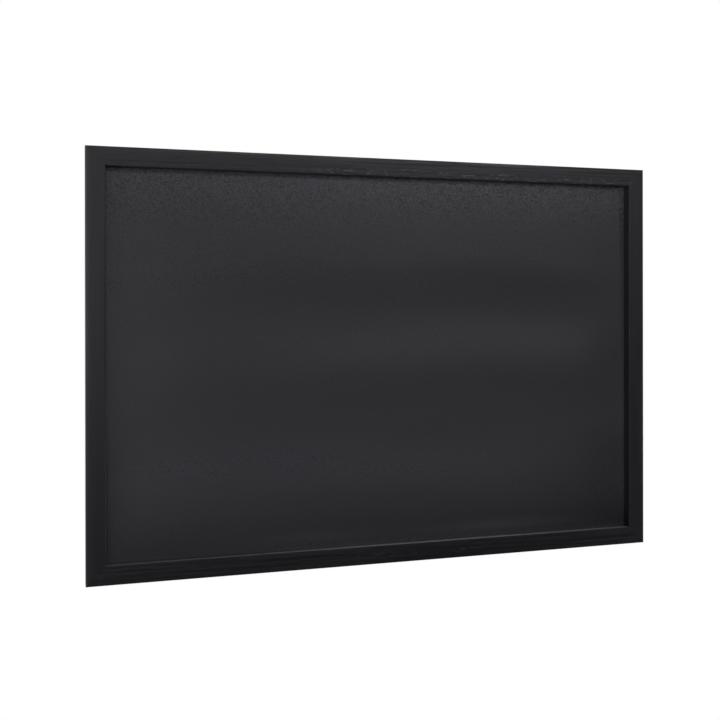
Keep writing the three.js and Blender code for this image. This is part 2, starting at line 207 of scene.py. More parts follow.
class NodeWriter:
    """Writes nodes into a tree. A value that is another node's output becomes a link."""

    def __init__(self, tree):
        self.tree = tree

    def feed(self, socket, value):
        """Sets an input, or links it to another node's output."""
        if isinstance(value, bpy.types.NodeSocket):
            self.tree.links.new(value, socket)
        else:
            socket.default_value = value

    def node(self, kind, inputs=(), **settings):
        """A node of that kind, with its settings and its inputs, which go by name or by index."""
        made = self.tree.nodes.new(kind)
        for name, value in settings.items():
            setattr(made, name, value)
        for name, value in dict(inputs).items():
            self.feed(made.inputs[name], value)
        return made

    def math(self, operation, *values):
        """A sum on numbers."""
        return self.node("ShaderNodeMath", enumerate(values), operation=operation).outputs[0]

    def plus(self, first, second):
        """Two numbers added."""
        return self.math("ADD", first, second)

    def minus(self, first, second):
        """One number less another."""
        return self.math("SUBTRACT", first, second)

    def times(self, product, *others):
        """Two or more numbers multiplied."""
        for other in others:
            product = self.math("MULTIPLY", product, other)
        return product

    def over(self, first, second):
        """One number divided by another."""
        return self.math("DIVIDE", first, second)

    def scaled(self, value, share, start):
        """A number times a share, added to a start."""
        return self.math("MULTIPLY_ADD", value, share, start)

    def apart(self, first, second):
        """How far two numbers are from each other."""
        return self.math("ABSOLUTE", self.minus(first, second))

    def vector(self, operation, *values):
        """A sum on vectors."""
        return self.node("ShaderNodeVectorMath", enumerate(values), operation=operation).outputs[0]

    def parts(self, vector):
        """The three numbers of a vector."""
        return self.node("ShaderNodeSeparateXYZ", {0: vector}).outputs

    def joined(self, x, y, z):
        """A vector from three numbers."""
        return self.node("ShaderNodeCombineXYZ", {0: x, 1: y, 2: z}).outputs[0]

    def remap(self, value, low, high, to_low=0.0, to_high=1.0):
        """A value between low and high, eased over to the new ends and held there outside."""
        made = self.node("ShaderNodeMapRange", enumerate((value, low, high, to_low, to_high)),
                         interpolation_type="SMOOTHSTEP")
        return made.outputs[0]

    def noise(self, place, scale, detail=2.0, roughness=0.5, distortion=0.0):
        """Noise from 0 to 1 whose scale along each axis is in cells a metre."""
        spot = self.vector("MULTIPLY", place, scale)
        made = self.node("ShaderNodeTexNoise", {
            "Vector": spot, "Scale": 1.0, "Detail": detail, "Roughness": roughness,
            "Distortion": distortion})
        return made.outputs["Fac"]

    def mix(self, share, first, second, blend="MIX"):
        """A colour between two others."""
        made = self.node("ShaderNodeMix", data_type="RGBA", blend_type=blend)
        sockets = {socket.identifier: socket for socket in made.inputs}
        self.feed(sockets["Factor_Float"], share)
        self.feed(sockets["A_Color"], first)
        self.feed(sockets["B_Color"], second)
        return next(out for out in made.outputs if out.identifier == "Result_Color")

    def toned(self, colour, share):
        """A colour times a share that may vary over the surface."""
        return self.mix(1.0, colour, self.joined(share, share, share), "MULTIPLY")

    def bump(self, height, distance, under=None):
        """A surface normal from a height of 0 to 1 that stands for that distance in metres."""
        inputs = {"Height": height, "Distance": distance, "Strength": 1.0}
        if under is not None:
            inputs["Normal"] = under
        return self.node("ShaderNodeBump", inputs).outputs[0]

    def position(self):
        """The place of each point of a geometry."""
        return self.node("GeometryNodeInputPosition").outputs[0]

    def moved(self, geometry, **change):
        """A geometry whose points have a new position, or an offset from the old one."""
        inputs = {label.capitalize(): value for label, value in change.items()}
        return self.node("GeometryNodeSetPosition", {"Geometry": geometry, **inputs}).outputs[0]

    def stored(self, geometry, name, value, kind="FLOAT"):
        """A geometry that carries a value for its finish to read."""
        inputs = {"Geometry": geometry, "Name": name, "Value": value}
        return self.node("GeometryNodeStoreNamedAttribute", inputs, data_type=kind).outputs[0]


def four(colour):
    """A colour with its fourth number."""
    return (*colour, 1.0)


def shaded(colour, share):
    """A colour made lighter or darker by that share."""
    return four([share * part for part in colour])


def new_material(name):
    """A material with only its surface shader: the material, its writer and the shader."""
    material = bpy.data.materials.new(name)
    material.use_nodes = True
    tree = material.node_tree
    tree.nodes.clear()
    writer = NodeWriter(tree)
    shader = writer.node("ShaderNodeBsdfPrincipled")
    writer.node("ShaderNodeOutputMaterial", {"Surface": shader.outputs[0]})
    return material, writer, shader


def object_place(writer):
    """The object coordinates, in metres."""
    return writer.node("ShaderNodeTexCoord").outputs["Object"]


def surface_attribute(writer, name, output="Vector"):
    """A value that the mesh itself carries."""
    return writer.node("ShaderNodeAttribute", attribute_name=name).outputs[output]


# The wood: how deep its relief is, the pitch of the rows of painted glints in its open grain, and
# the colours of these painted glints and of the painted highlight on the bottom rail's lip
RING_RELIEF = 0.02 * MM
FIBRE_RELIEF = 0.012 * MM
PORE_RELIEF = 0.05 * MM
FLECK_ROW = 1.3 * MM
PORE_GLINT_COLOUR = (0.11, 0.11, 0.112)
LIP_HIGHLIGHT_COLOUR = (0.66, 0.66, 0.67)


def open_grain_flecks(w, grain):
    """Thin light dashes in rows along the grain: painted highlights, glints of light in the open
    pores.
    """
    along, _, over = w.parts(grain)
    row = w.over(over, FLECK_ROW)
    in_row = w.remap(w.math("PINGPONG", row, 0.5), 0.08, 0.26)
    flecks = w.noise(w.joined(along, 0.0, w.math("FLOOR", row)), (150, 0, 7.3), detail=2)
    return w.times(surface_attribute(w, "open_grain", "Fac"), in_row, w.remap(flecks, 0.545, 0.66))


def black_stained_wood(colour):
    """Open-grained wood, stained black under a thin satin lacquer that leaves its pores open."""
    material, w, shader = new_material("stained_wood_finish")
    grain = surface_attribute(w, "grain")
    figure = surface_attribute(w, "figure", "Fac")
    rings = w.noise(grain, (1.6, 95, 95), detail=3, distortion=0.4)
    fibres = w.noise(grain, (28, 1900, 1900), detail=3, roughness=0.6)
    vessels = w.noise(grain, (75, 1150, 1150), detail=1)
    early = w.remap(rings, 0.46, 0.62)
    pores = w.times(w.remap(vessels, 0.55, 0.64), w.scaled(early, 0.4, 0.4), figure)
    lines = w.noise(grain, (8, 200, 640), detail=1)
    drawn = w.scaled(w.minus(w.remap(lines, 0.39, 0.61), 0.5), figure, 0.5)
    tone = w.mix(drawn, shaded(colour, 0.2), shaded(colour, 2.2))
    ringed = w.times(w.remap(rings, 0.62, 0.38, 0.0, 0.15), figure)
    tone = w.mix(ringed, tone, shaded(colour, 0.7))
    tone = w.mix(w.times(fibres, 0.4), tone, shaded(colour, 1.5))
    tone = w.mix(pores, tone, shaded(colour, 0.35))
    # Painted light: each side's colour is made lighter or darker by its own share, the top rail
    # lightest and the bottom rail darkest, as the light falls on them
    tone = w.toned(tone, surface_attribute(w, "paleness", "Fac"))
    # Painted highlights: pale dashes stand for light glinting in the open pores, mostly along the top
    # rail
    flecks = open_grain_flecks(w, grain)
    tone = w.mix(flecks, tone, four(PORE_GLINT_COLOUR))
    worn = w.times(surface_attribute(w, "arris", "Fac"),
                   w.remap(w.noise(grain, (90, 220, 220), detail=3), 0.60, 0.70))
    tone = w.mix(w.times(worn, figure, 0.3), tone, shaded(colour, 6.0))
    # Painted highlight: a pale band on the bottom rail's lip, where light falls on it
    tone = w.mix(surface_attribute(w, "rubbed", "Fac"), tone, four(LIP_HIGHLIGHT_COLOUR))
    w.feed(shader.inputs["Base Color"], tone)
    dull = w.scaled(drawn, -0.24, w.scaled(fibres, 0.10, 0.44))
    dull = w.scaled(pores, 0.25, dull)
    w.feed(shader.inputs["Roughness"], w.scaled(flecks, 0.15, dull))
    relief = w.bump(rings, RING_RELIEF)
    relief = w.bump(fibres, FIBRE_RELIEF, relief)
    relief = w.bump(w.minus(1.0, pores), PORE_RELIEF, relief)
    w.feed(shader.inputs["Normal"], relief)
    return material


class Stretch:
    """A stretch of the panel, or of the way in from its edge, and the shares at its two ends."""

    def __init__(self, start, end, start_share=0.0, end_share=1.0):
        self.values = (start, end, start_share, end_share)

    def share(self, w, place):
        """The share at a place, eased from end to end and held outside the stretch."""
        return w.remap(place, *self.values)


# The coat: the cells of its orange peel in a metre, and how deep its relief is
PEEL_CELLS = (700, 700, 700)
PEEL_RELIEF = 0.13 * MM
TOOTH_RELIEF = 0.006 * MM

# Where the coat's peel shows more strongly: towards the top, and there more to the right. In its
# colour this is a painted glint, the light catching the peel there
PEEL_GLINT_BY_HEIGHT = Stretch(-75 * MM, -25 * MM)
PEEL_GLINT_BY_WIDTH = Stretch(-150 * MM, 100 * MM, 2.7, 6.6)

# Painted light and shade in the coat's colour: painted shade towards its foot and low on the right,
# painted sheen bands across it, and painted light beside the stiles that lifts the shade they cast
PAINTED_SHADE_AT_FOOT = Stretch(-420 * MM, -340 * MM, 0.74, 1.0)
PAINTED_SHEEN_BANDS = [
    Stretch(-300 * MM, -220 * MM, 1.12, 1.0),
    Stretch(-190 * MM, -120 * MM, 1.0, 0.90),
    Stretch(-66 * MM, -22 * MM, 1.0, 1.26),
]
PAINTED_SHADE_BY_WIDTH = Stretch(120 * MM, 300 * MM)
PAINTED_SHADE_BY_HEIGHT = Stretch(-270 * MM, -340 * MM, 0.05, 0.28)
BESIDE_LEFT_STILE = Stretch(-294 * MM, -301 * MM)
BESIDE_LEFT_BY_HEIGHT = Stretch(-330 * MM, -230 * MM, 0.4, 1.0)
BESIDE_RIGHT_STILE = Stretch(289 * MM, 297 * MM, 1.0, 1.3)


def coat_depth(w, across, height):
    """The painted light and shade over the panel, as a share of the coat's colour."""
    painted_shade = w.times(PAINTED_SHADE_BY_WIDTH.share(w, across), PAINTED_SHADE_BY_HEIGHT.share(w, height))
    depth = w.minus(PAINTED_SHADE_AT_FOOT.share(w, height), painted_shade)
    for band in PAINTED_SHEEN_BANDS:
        depth = w.times(depth, band.share(w, height))
    beside = w.times(BESIDE_LEFT_STILE.share(w, across), BESIDE_LEFT_BY_HEIGHT.share(w, height))
    return w.times(depth, w.plus(beside, 1.0), BESIDE_RIGHT_STILE.share(w, across))


def writing_coat(colour):
    """A rolled charcoal chalk coat of low sheen, with the fine orange peel that a roller leaves. Its
    colour also carries painted light and shade over the panel and painted glints in the peel.
    """
    material, w, shader = new_material("chalk_coat_finish")
    place = object_place(w)
    peel = w.noise(place, PEEL_CELLS, detail=1, roughness=0.4)
    tooth = w.noise(place, (2100, 2100, 2100), detail=2, roughness=0.6)
    haze = w.remap(w.noise(place, (1.6, 4, 13), detail=2), 0.30, 0.72)
    tone = w.mix(haze, shaded(colour, 0.88), shaded(colour, 1.14))
    tone = w.mix(w.times(tooth, 0.35), tone, shaded(colour, 1.5))
    across, _, height = w.parts(place)
    # The peel's spread in colour is heavier at the top right: painted glints where the light catches
    # the peel. In the roughness it is the peel's real sheen
    peel_glint = w.scaled(PEEL_GLINT_BY_HEIGHT.share(w, height), PEEL_GLINT_BY_WIDTH.share(w, across), 1.0)
    spread = w.times(w.minus(w.remap(peel, 0.30, 0.70), 0.5), peel_glint)
    # The coat's colour carries painted glints from the peel and painted light and shade over the
    # panel
    tone = w.toned(tone, w.times(w.scaled(spread, 0.19, 1.0), coat_depth(w, across, height)))
    w.feed(shader.inputs["Base Color"], tone)
    elsewhere = w.vector("ADD", place, (1.0, 1.0, 1.0))
    gloss = w.noise(elsewhere, PEEL_CELLS, detail=1, roughness=0.4)
    sheen = w.remap(gloss, 0.30, 0.70, -0.5, 0.5)
    dull = w.scaled(haze, -0.04, w.scaled(w.times(sheen, peel_glint), -0.055, 0.31))
    w.feed(shader.inputs["Roughness"], w.scaled(tooth, 0.04, dull))
    relief = w.bump(peel, PEEL_RELIEF)
    w.feed(shader.inputs["Normal"], w.bump(tooth, TOOTH_RELIEF, relief))
    return material


# The back: the wires of the screen that the board was pressed on, and how deep its relief is
SCREEN_PITCH = 1.3 * MM
SCREEN_RELIEF = 0.035 * MM
MATTED_RELIEF = 0.08 * MM


def fibreboard(colour):
    """The bare back of a pressed fibreboard: matted fibres under the print of its wire screen."""
    material, w, shader = new_material("fibreboard_back_finish")
    place = object_place(w)
    fibres = w.noise(place, (420, 420, 900), detail=4, roughness=0.65, distortion=1.2)
    clouds = w.noise(place, (9, 9, 9), detail=3)
    tone = w.mix(clouds, shaded(colour, 0.80), shaded(colour, 1.22))
    tone = w.mix(w.remap(fibres, 0.42, 0.75), tone, shaded(colour, 1.75))
    tone = w.mix(w.remap(fibres, 0.45, 0.25), tone, shaded(colour, 0.45))
    w.feed(shader.inputs["Base Color"], tone)
    shader.inputs["Roughness"].default_value = 0.78
    x, _, z = w.parts(place)
    wires = [w.math("SINE", w.times(value, 2 * math.pi / SCREEN_PITCH)) for value in (x, z)]
    relief = w.bump(w.times(*wires), SCREEN_RELIEF)
    w.feed(shader.inputs["Normal"], w.bump(fibres, MATTED_RELIEF, relief))
    return material


# How deep the scratches in the steel and the bloom on the rubber are
SCRATCH_RELIEF = 0.004 * MM
BLOOM_RELIEF = 0.02 * MM


def worked_steel(name, colour, roughness, stain, stain_share):
    """Steel with a soft patchy plate, a few fine scratches and duller spots of stain."""
    material, w, shader = new_material(name)
    place = object_place(w)
    patches = w.noise(place, (260, 260, 260), detail=3)
    scratches = w.noise(place, (2600, 900, 240), detail=2, distortion=0.6)
    tone = w.mix(w.remap(patches, 0.35, 0.75), four(colour), shaded(colour, 0.82))
    spots = w.remap(w.noise(place, (900, 900, 900), detail=3), 0.62, 0.74)
    tone = w.mix(w.times(spots, stain_share), tone, four(stain))
    w.feed(shader.inputs["Base Color"], tone)
    shader.inputs["Metallic"].default_value = 1.0
    dull = w.scaled(patches, 0.16, roughness - 0.08)
    w.feed(shader.inputs["Roughness"], w.scaled(spots, 0.2, dull))
    w.feed(shader.inputs["Normal"], w.bump(scratches, SCRATCH_RELIEF))
    return material


def pad_rubber(colour):
    """Matt moulded rubber with a dusty bloom."""
    material, w, shader = new_material("wall_pad_finish")
    place = object_place(w)
    bloom = w.noise(place, (520, 520, 520), detail=4, roughness=0.6)
    tone = w.mix(w.remap(bloom, 0.45, 0.8), four(colour), shaded(colour, 2.2))
    w.feed(shader.inputs["Base Color"], tone)
    w.feed(shader.inputs["Roughness"], w.scaled(bloom, 0.2, 0.68))
    w.feed(shader.inputs["Normal"], w.bump(bloom, BLOOM_RELIEF))
    return material


def mesh_object(name, points, faces):
    """A new object with a closed mesh whose faces point outwards."""
    mesh = bpy.data.meshes.new(name)
    mesh.from_pydata([tuple(point) for point in points], [], faces)
    made = bmesh.new()
    made.from_mesh(mesh)
    bmesh.ops.remove_doubles(made, verts=made.verts, dist=MERGE_GAP)
    bmesh.ops.recalc_face_normals(made, faces=made.faces)
    made.to_mesh(mesh)
    made.free()
    return linked(bpy.data.objects.new(name, mesh))


def linked(piece):
    """The object, put in the scene."""
    bpy.context.scene.collection.objects.link(piece)
    return piece


def removed(*pieces):
    """Takes objects out of the file."""
    for piece in pieces:
        bpy.data.objects.remove(piece)


def arc(centre, radius, start, end, steps):
    """Points on a circular arc, with both of its ends."""
    angles = [start + (end - start) * step / steps for step in range(steps + 1)]
    return [Vector(centre) + radius * Vector((math.cos(angle), math.sin(angle))) for angle in angles]


def strip(path, thickness):
    """The outline of a bent strip: its middle line moved half the thickness to each side."""
    sides = []
    for before, after in zip(path, path[1:]):
        along = (after - before).normalized()
        sides.append(Vector((-along.y, along.x)))
    offsets = []
    for place in range(len(path)):
        first, second = sides[max(place - 1, 0)], sides[min(place, len(sides) - 1)]
        offsets.append((first + second) / (1 + first.dot(second)))
    left = [point + offset * thickness / 2 for point, offset in zip(path, offsets)]
    right = [point - offset * thickness / 2 for point, offset in zip(path, offsets)]
    return left + right[::-1]


def rounded(corners, steps=5):
    """A closed outline through corners of (place, radius), with an arc where there is a radius."""
    points = []
    for index, (here, radius) in enumerate(corners):
        if radius <= 0:
            points.append(here)
            continue
        back = (corners[index - 1][0] - here).normalized()
        on = (corners[(index + 1) % len(corners)][0] - here).normalized()
        half = back.angle(on) / 2
        centre = here + (back + on).normalized() * radius / math.sin(half)
        start = here + back * radius / math.tan(half) - centre
        end = here + on * radius / math.tan(half) - centre
        turn = end.angle_signed(start)
        turns = [Matrix.Rotation(turn * step / steps, 2) for step in range(steps + 1)]
        points += [centre + rotation @ start for rotation in turns]
    return points


def in_plate(a, b, depth):
    """A plate's point: its outline is drawn in X and Z, and its thickness runs along Y."""
    return Vector((a, depth, b))


def in_bar(a, b, depth):
    """A bar's point: its section is drawn in Y and Z, and its length runs along X."""
    return Vector((depth, a, b))


def prism(name, outline, low, high, spot, taper=1.0):
    """A solid with the same outline from end to end, or with a smaller one at its low end."""
    points = [spot(taper * point.x, taper * point.y, low) for point in outline]
    points += [spot(point.x, point.y, high) for point in outline]
    count = len(outline)
    faces = [(i, (i + 1) % count, (i + 1) % count + count, i + count) for i in range(count)]
    faces += [tuple(range(count)), tuple(range(2 * count - 1, count - 1, -1))]
    return mesh_object(name, points, faces)


def turned(name, profile, steps, thread=None):
    """A solid turned about Y from a profile of (radius, y) that starts and ends on the axis."""
    points = []
    for radius, y in profile:
        for step in range(steps):
            angle = 2 * math.pi * step / steps
            reach = thread(radius, y, angle) if thread else radius
            points.append((reach * math.cos(angle), y, reach * math.sin(angle)))
    faces = []
    for ring in range(len(profile) - 1):
        for step in range(steps):
            here, there = ring * steps + step, ring * steps + (step + 1) % steps
            faces.append((here, there, there + steps, here + steps))
    return mesh_object(name, points, faces)


def joined(name, pieces):
    """Several loose solids as one object. The pieces are removed."""
    made = bmesh.new()
    for piece in pieces:
        made.from_mesh(piece.data)
    mesh = bpy.data.meshes.new(name)
    made.to_mesh(mesh)
    made.free()
    removed(*pieces)
    return linked(bpy.data.objects.new(name, mesh))


def placed(piece, turn=0.0, place=(0, 0, 0)):
    """The piece turned about Y and moved, in its mesh."""
    piece.data.transform(Matrix.Translation(place) @ Matrix.Rotation(turn, 4, "Y"))
    return piece


def baked(piece):
    """The piece with its modifiers turned into a plain mesh."""
    graph = bpy.context.evaluated_depsgraph_get()
    mesh = bpy.data.meshes.new_from_object(
        piece.evaluated_get(graph), preserve_all_data_layers=True, depsgraph=graph)
    piece.modifiers.clear()
    piece.data = mesh
    return piece


def carved(piece, cutter, operation="DIFFERENCE"):
    """The piece with the cutter taken out of it, or trimmed to it. The cutter is removed."""
    modifier = piece.modifiers.new("Carve", "BOOLEAN")
    modifier.operation = operation
    modifier.solver = "EXACT"
    modifier.object = cutter
    baked(piece)
    removed(cutter)
    return piece


def eased(piece, radius, sharper_than=math.radians(35)):
    """The piece with its sharp edges rounded."""
    made = bmesh.new()
    made.from_mesh(piece.data)
    edges = [edge for edge in made.edges if edge.calc_face_angle(0) > sharper_than]
    bmesh.ops.bevel(made, geom=edges, offset=radius, segments=2, profile=0.5,
                    affect="EDGES", clamp_overlap=True)
    made.to_mesh(piece.data)
    made.free()
    return piece


def smoothed(piece):
    """The piece shaded smooth, but for its sharp edges."""
    piece.data.shade_smooth()
    piece.data.set_sharp_from_angle(angle=math.radians(40))
    return piece


def on_board(piece, nodes, body=FRAME_BODY):
    """Puts the piece on the empty of the body that it moves with, and hides the nodes that it stands
    for.
    """
    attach(piece, body)
    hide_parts(*nodes)


def new_node_tree(name, sockets):
    """A geometry node tree with named inputs: the tree, its writer and the inputs by name."""
    tree = bpy.data.node_groups.new(name, "GeometryNodeTree")
    tree.interface.new_socket("Geometry", in_out="OUTPUT", socket_type="NodeSocketGeometry")
    for label, kind in sockets.items():
        tree.interface.new_socket(label, in_out="INPUT", socket_type="NodeSocket" + kind)
    writer = NodeWriter(tree)
    inputs = tree.nodes.new("NodeGroupInput").outputs
    return tree, writer, {label: inputs[label] for label in sockets}


def ended(writer, geometry, material):
    """Ends a tree with real geometry in that material."""
    real = writer.node("GeometryNodeRealizeInstances", {"Geometry": geometry})
    done = writer.node("GeometryNodeSetMaterial", {"Geometry": real.outputs[0], "Material": material})
    writer.node("NodeGroupOutput", {"Geometry": done.outputs[0]})


def grown(name, tree, values):
    """A plain mesh object made by a node tree from its named inputs."""
    piece = linked(bpy.data.objects.new(name, bpy.data.meshes.new(name)))
    modifier = piece.modifiers.new("Grow", "NODES")
    modifier.node_group = tree
    labels = {item.name: item.identifier for item in tree.interface.items_tree
              if item.in_out == "INPUT"}
    for label, value in values.items():
        modifier[labels[label]] = value
    piece.update_tag()
    baked(piece)
    piece.data.name = name
    return piece


def filleted_line(w, corners, steps, closed):
    """A curve through corners of (x, y, radius) in the XY plane, with an arc at each radius."""
    index = w.node("GeometryNodeInputIndex").outputs[0]
    places = w.node("GeometryNodeIndexSwitch", data_type="VECTOR")
    radii = w.node("GeometryNodeIndexSwitch", data_type="FLOAT")
    for switch in (places, radii):
        for _ in corners[2:]:
            switch.index_switch_items.new()
        w.feed(switch.inputs["Index"], index)
    for number, (x, y, radius) in enumerate(corners):
        w.feed(places.inputs[str(number)], w.joined(x, y, 0.0))
        w.feed(radii.inputs[str(number)], radius)
    points = w.node("GeometryNodePoints", {"Count": len(corners), "Position": places.outputs[0]})
    line = w.node("GeometryNodePointsToCurves", {"Points": points.outputs[0]})
    line = w.node("GeometryNodeSetSplineCyclic", {"Geometry": line.outputs[0], "Cyclic": closed})
    fillet = w.node("GeometryNodeFilletCurve", {
        "Curve": line.outputs[0], "Count": steps, "Radius": radii.outputs[0],
        "Limit Radius": True}, mode="POLY")
    return fillet.outputs[0]


# The steps of the moulding's rounded edges, the size of its faces and how much longer they are
# along it, and how its crown falls less towards the opening
ARRIS_STEPS = 6
MOULDING_CELL = 1.5 * MM
CELL_LENGTH_SHARE = 3.0
INNER_FALL_SHARE = 0.3

# The worn bands beside its edges, and how softly the painted glints in the open grain end along and
# across the face
ARRIS_BAND = (0.4 * MM, 1.6 * MM)
PORE_GLINT_EASE_SHARE = 0.12
PORE_GLINT_HALF_SHARES = (0.08, 0.24)

# The painted highlight on the wall of the opening, where light falls on the bottom rail's lip: how
# near the wall it lies, how far behind the front face it starts and ends, what is left of it further
# back, and how it fades along the rail
LIP_HIGHLIGHT_NEARNESS = (0.15 * MM, 0.5 * MM)
LIP_HIGHLIGHT_START = (0.5 * MM, 1.2 * MM)
LIP_HIGHLIGHT_END = (4.0 * MM, 5.8 * MM)
LIP_HIGHLIGHT_BEHIND_SHARE = 0.15
LIP_HIGHLIGHT_MIDDLE_SHARE = 0.37
LIP_HIGHLIGHT_REACH_SHARES = (0.05, 0.45)
LIP_HIGHLIGHT_ENDS_SHARE = 0.5


def moulding_section(w, size, face, front):
    """The moulding's outline, its straight stretches divided so that marks stay beside edges."""
    lip_back = w.plus(front, size["Lip"])
    rabbet_wall = w.plus(face, size["Rabbet"])
    section = filleted_line(w, [
        (0.0, 0.0, size["Back Arris"]),
        (front, 0.0, size["Outer Arris"]),
        (front, face, size["Inner Arris"]),
        (lip_back, face, size["Saw Arris"]),
        (lip_back, rabbet_wall, 0.0),
        (0.0, rabbet_wall, size["Saw Arris"]),
    ], size["Arris Steps"], True)
    index = w.node("GeometryNodeInputIndex").outputs[0]
    here = w.position()
    count = w.node("GeometryNodeAttributeDomainSize", {"Geometry": section}, component="CURVE")
    following = w.math("MODULO", w.plus(index, 1.0), count.outputs["Point Count"])
    ahead = w.node("GeometryNodeFieldAtIndex", {"Value": here, "Index": following},
                   data_type="FLOAT_VECTOR", domain="POINT")
    reach = w.node("ShaderNodeVectorMath", {0: ahead.outputs[0], 1: here}, operation="DISTANCE")
    cuts = w.math("FLOOR", w.over(reach.outputs["Value"], size["Cell"]))
    return w.node("GeometryNodeSubdivideCurve", {"Curve": section, "Cuts": cuts}).outputs[0]


def mitred(w, size, section):
    """The section carried along a stretch of one unit, which is drawn out to the mitred length."""
    steps = w.math("FLOOR", w.over(size["Length"], w.times(size["Cell"], CELL_LENGTH_SHARE)))
    line = w.node("GeometryNodeCurvePrimitiveLine", {"Start": (0, 0, -0.5), "End": (0, 0, 0.5)})
    line = w.node("GeometryNodeResampleCurve", {"Curve": line.outputs[0], "Count": steps})
    swept = w.node("GeometryNodeCurveToMesh", {
        "Curve": line.outputs[0], "Profile Curve": section, "Fill Caps": True})
    y, z, share = w.parts(w.position())
    inner = w.scaled(z, 2.0, size["Length"])
    length = w.minus(inner, w.times(size["Glue Line"], math.sqrt(2)))
    return w.moved(swept.outputs[0], position=w.joined(w.times(share, length), y, z))


def crowned(w, size, bar, face, front):
    """The bar with a front face that falls back a little towards its two edges."""
    _, y, z = w.parts(w.position())
    from_middle = w.minus(w.times(w.over(z, face), 2.0), 1.0)
    outwards = w.math("MAXIMUM", w.times(from_middle, -1.0),
                      w.times(from_middle, INNER_FALL_SHARE))
    fall = w.times(w.math("POWER", outwards, 3.0), size["Crown"])
    nearness = w.remap(w.minus(y, front), 0.0, size["Lip"], 1.0, 0.0)
    return w.moved(bar, offset=w.joined(0.0, w.times(fall, nearness), 0.0))


def sanded(w, size, bar):
    """The bar with soft hollows that only go inwards, so that it stays within its section."""
    seeded = w.vector("ADD", w.position(), w.joined(size["Seed"], 0.0, 0.0))
    hollow = w.times(w.noise(seeded, (14, 70, 70), detail=2), size["Sanding"])
    normal = w.node("GeometryNodeInputNormal").outputs[0]
    inwards = w.node("ShaderNodeVectorMath", {0: normal, "Scale": w.times(hollow, -1.0)},
                     operation="SCALE")
    return w.moved(bar, offset=inwards.outputs[0])


def slotted(w, size, bar):
    """The bar with the slots of its hardware cut out."""
    slots = w.node("GeometryNodeObjectInfo", {"Object": size["Slots"]}, transform_space="ORIGINAL")
    cut = w.node("GeometryNodeMeshBoolean", {
        "Mesh 1": bar, "Mesh 2": slots.outputs["Geometry"]}, operation="DIFFERENCE", solver="EXACT")
    return cut.outputs[0]


def opened(w, size, along, across):
    """Where the painted glints in the open grain show: over a stretch of the length, near one height
    of the face.
    """
    start, end = size["Open Grain Start"], size["Open Grain End"]
    opens = w.remap(along, start, w.plus(start, PORE_GLINT_EASE_SHARE))
    closes = w.remap(along, w.minus(end, PORE_GLINT_EASE_SHARE), end, 1.0, 0.0)
    near = w.remap(w.apart(across, size["Open Grain Height"]), *PORE_GLINT_HALF_SHARES, 1.0, 0.0)
    return w.times(opens, closes, near, size["Open Grain Strength"])


def rubbed(w, size, along, to_front, to_lip):
    """How bright the painted highlight is where light falls on the lip: a narrow band, brightest at
    its middle.
    """
    on_lip = w.remap(to_lip, *LIP_HIGHLIGHT_NEARNESS, 1.0, 0.0)
    behind = w.remap(to_front, *LIP_HIGHLIGHT_END, 1.0, LIP_HIGHLIGHT_BEHIND_SHARE)
    in_band = w.times(w.remap(to_front, *LIP_HIGHLIGHT_START), behind)
    from_middle = w.apart(along, LIP_HIGHLIGHT_MIDDLE_SHARE)
    lengthways = w.remap(from_middle, *LIP_HIGHLIGHT_REACH_SHARES, 1.0, LIP_HIGHLIGHT_ENDS_SHARE)
    return w.times(on_lip, in_band, lengthways, size["Rubbed Edge"])


def marked(w, size, bar, face, front):
    """The bar with what its finish reads: the place in the grain, the edges and the wear, and where
    painted light and highlights go.
    """
    place = w.position()
    x, y, z = w.parts(place)
    seed_across = w.times(size["Seed"], SEED_ACROSS_SHARE)
    seeded = w.vector("ADD", place, w.joined(size["Seed"], seed_across, 0.0))
    along = w.plus(w.over(x, size["Length"]), 0.5)
    to_front = w.minus(y, front)
    to_lip = w.apart(z, face)
    from_arris = w.math("MAXIMUM", to_front, w.math("MINIMUM", w.math("ABSOLUTE", z), to_lip))
    marks = {
        "arris": w.remap(from_arris, *ARRIS_BAND, 1.0, 0.0),
        "open_grain": opened(w, size, along, w.over(z, face)),
        "rubbed": rubbed(w, size, along, to_front, to_lip),
        "figure": size["Figure"],
        "paleness": size["Paleness"],
    }
    bar = w.stored(bar, "grain", seeded, "FLOAT_VECTOR")
    for name, value in marks.items():
        bar = w.stored(bar, name, value)
    return bar


def moulding_tree():
    """One mitred side of the frame, its outer edge at Z 0, its back at Y 0 and its length along X."""
    tree, w, size = new_node_tree("Mitred Moulding", {
        "Length": "Float", "Face": "Float", "Depth": "Float", "Lip": "Float", "Rabbet": "Float",
        "Outer Arris": "Float", "Inner Arris": "Float", "Back Arris": "Float",
        "Saw Arris": "Float", "Crown": "Float", "Glue Line": "Float",
        "Arris Steps": "Int", "Cell": "Float", "Sanding": "Float", "Seed": "Float",
        "Slots": "Object", "Open Grain Start": "Float", "Open Grain End": "Float",
        "Open Grain Height": "Float", "Open Grain Strength": "Float", "Rubbed Edge": "Float",
        "Figure": "Float", "Paleness": "Float", "Turn": "Float", "Place": "Vector",
        "Material": "Material",
    })
    face = w.times(size["Face"], -1.0)
    front = w.times(size["Depth"], -1.0)
    bar = mitred(w, size, moulding_section(w, size, face, front))
    bar = sanded(w, size, crowned(w, size, bar, face, front))
    bar = marked(w, size, slotted(w, size, bar), face, front)
    turned_bar = w.node("GeometryNodeTransform", {
        "Geometry": bar, "Translation": size["Place"], "Rotation": w.joined(0.0, size["Turn"], 0.0)})
    ended(w, turned_bar.outputs[0], size["Material"])
    return tree


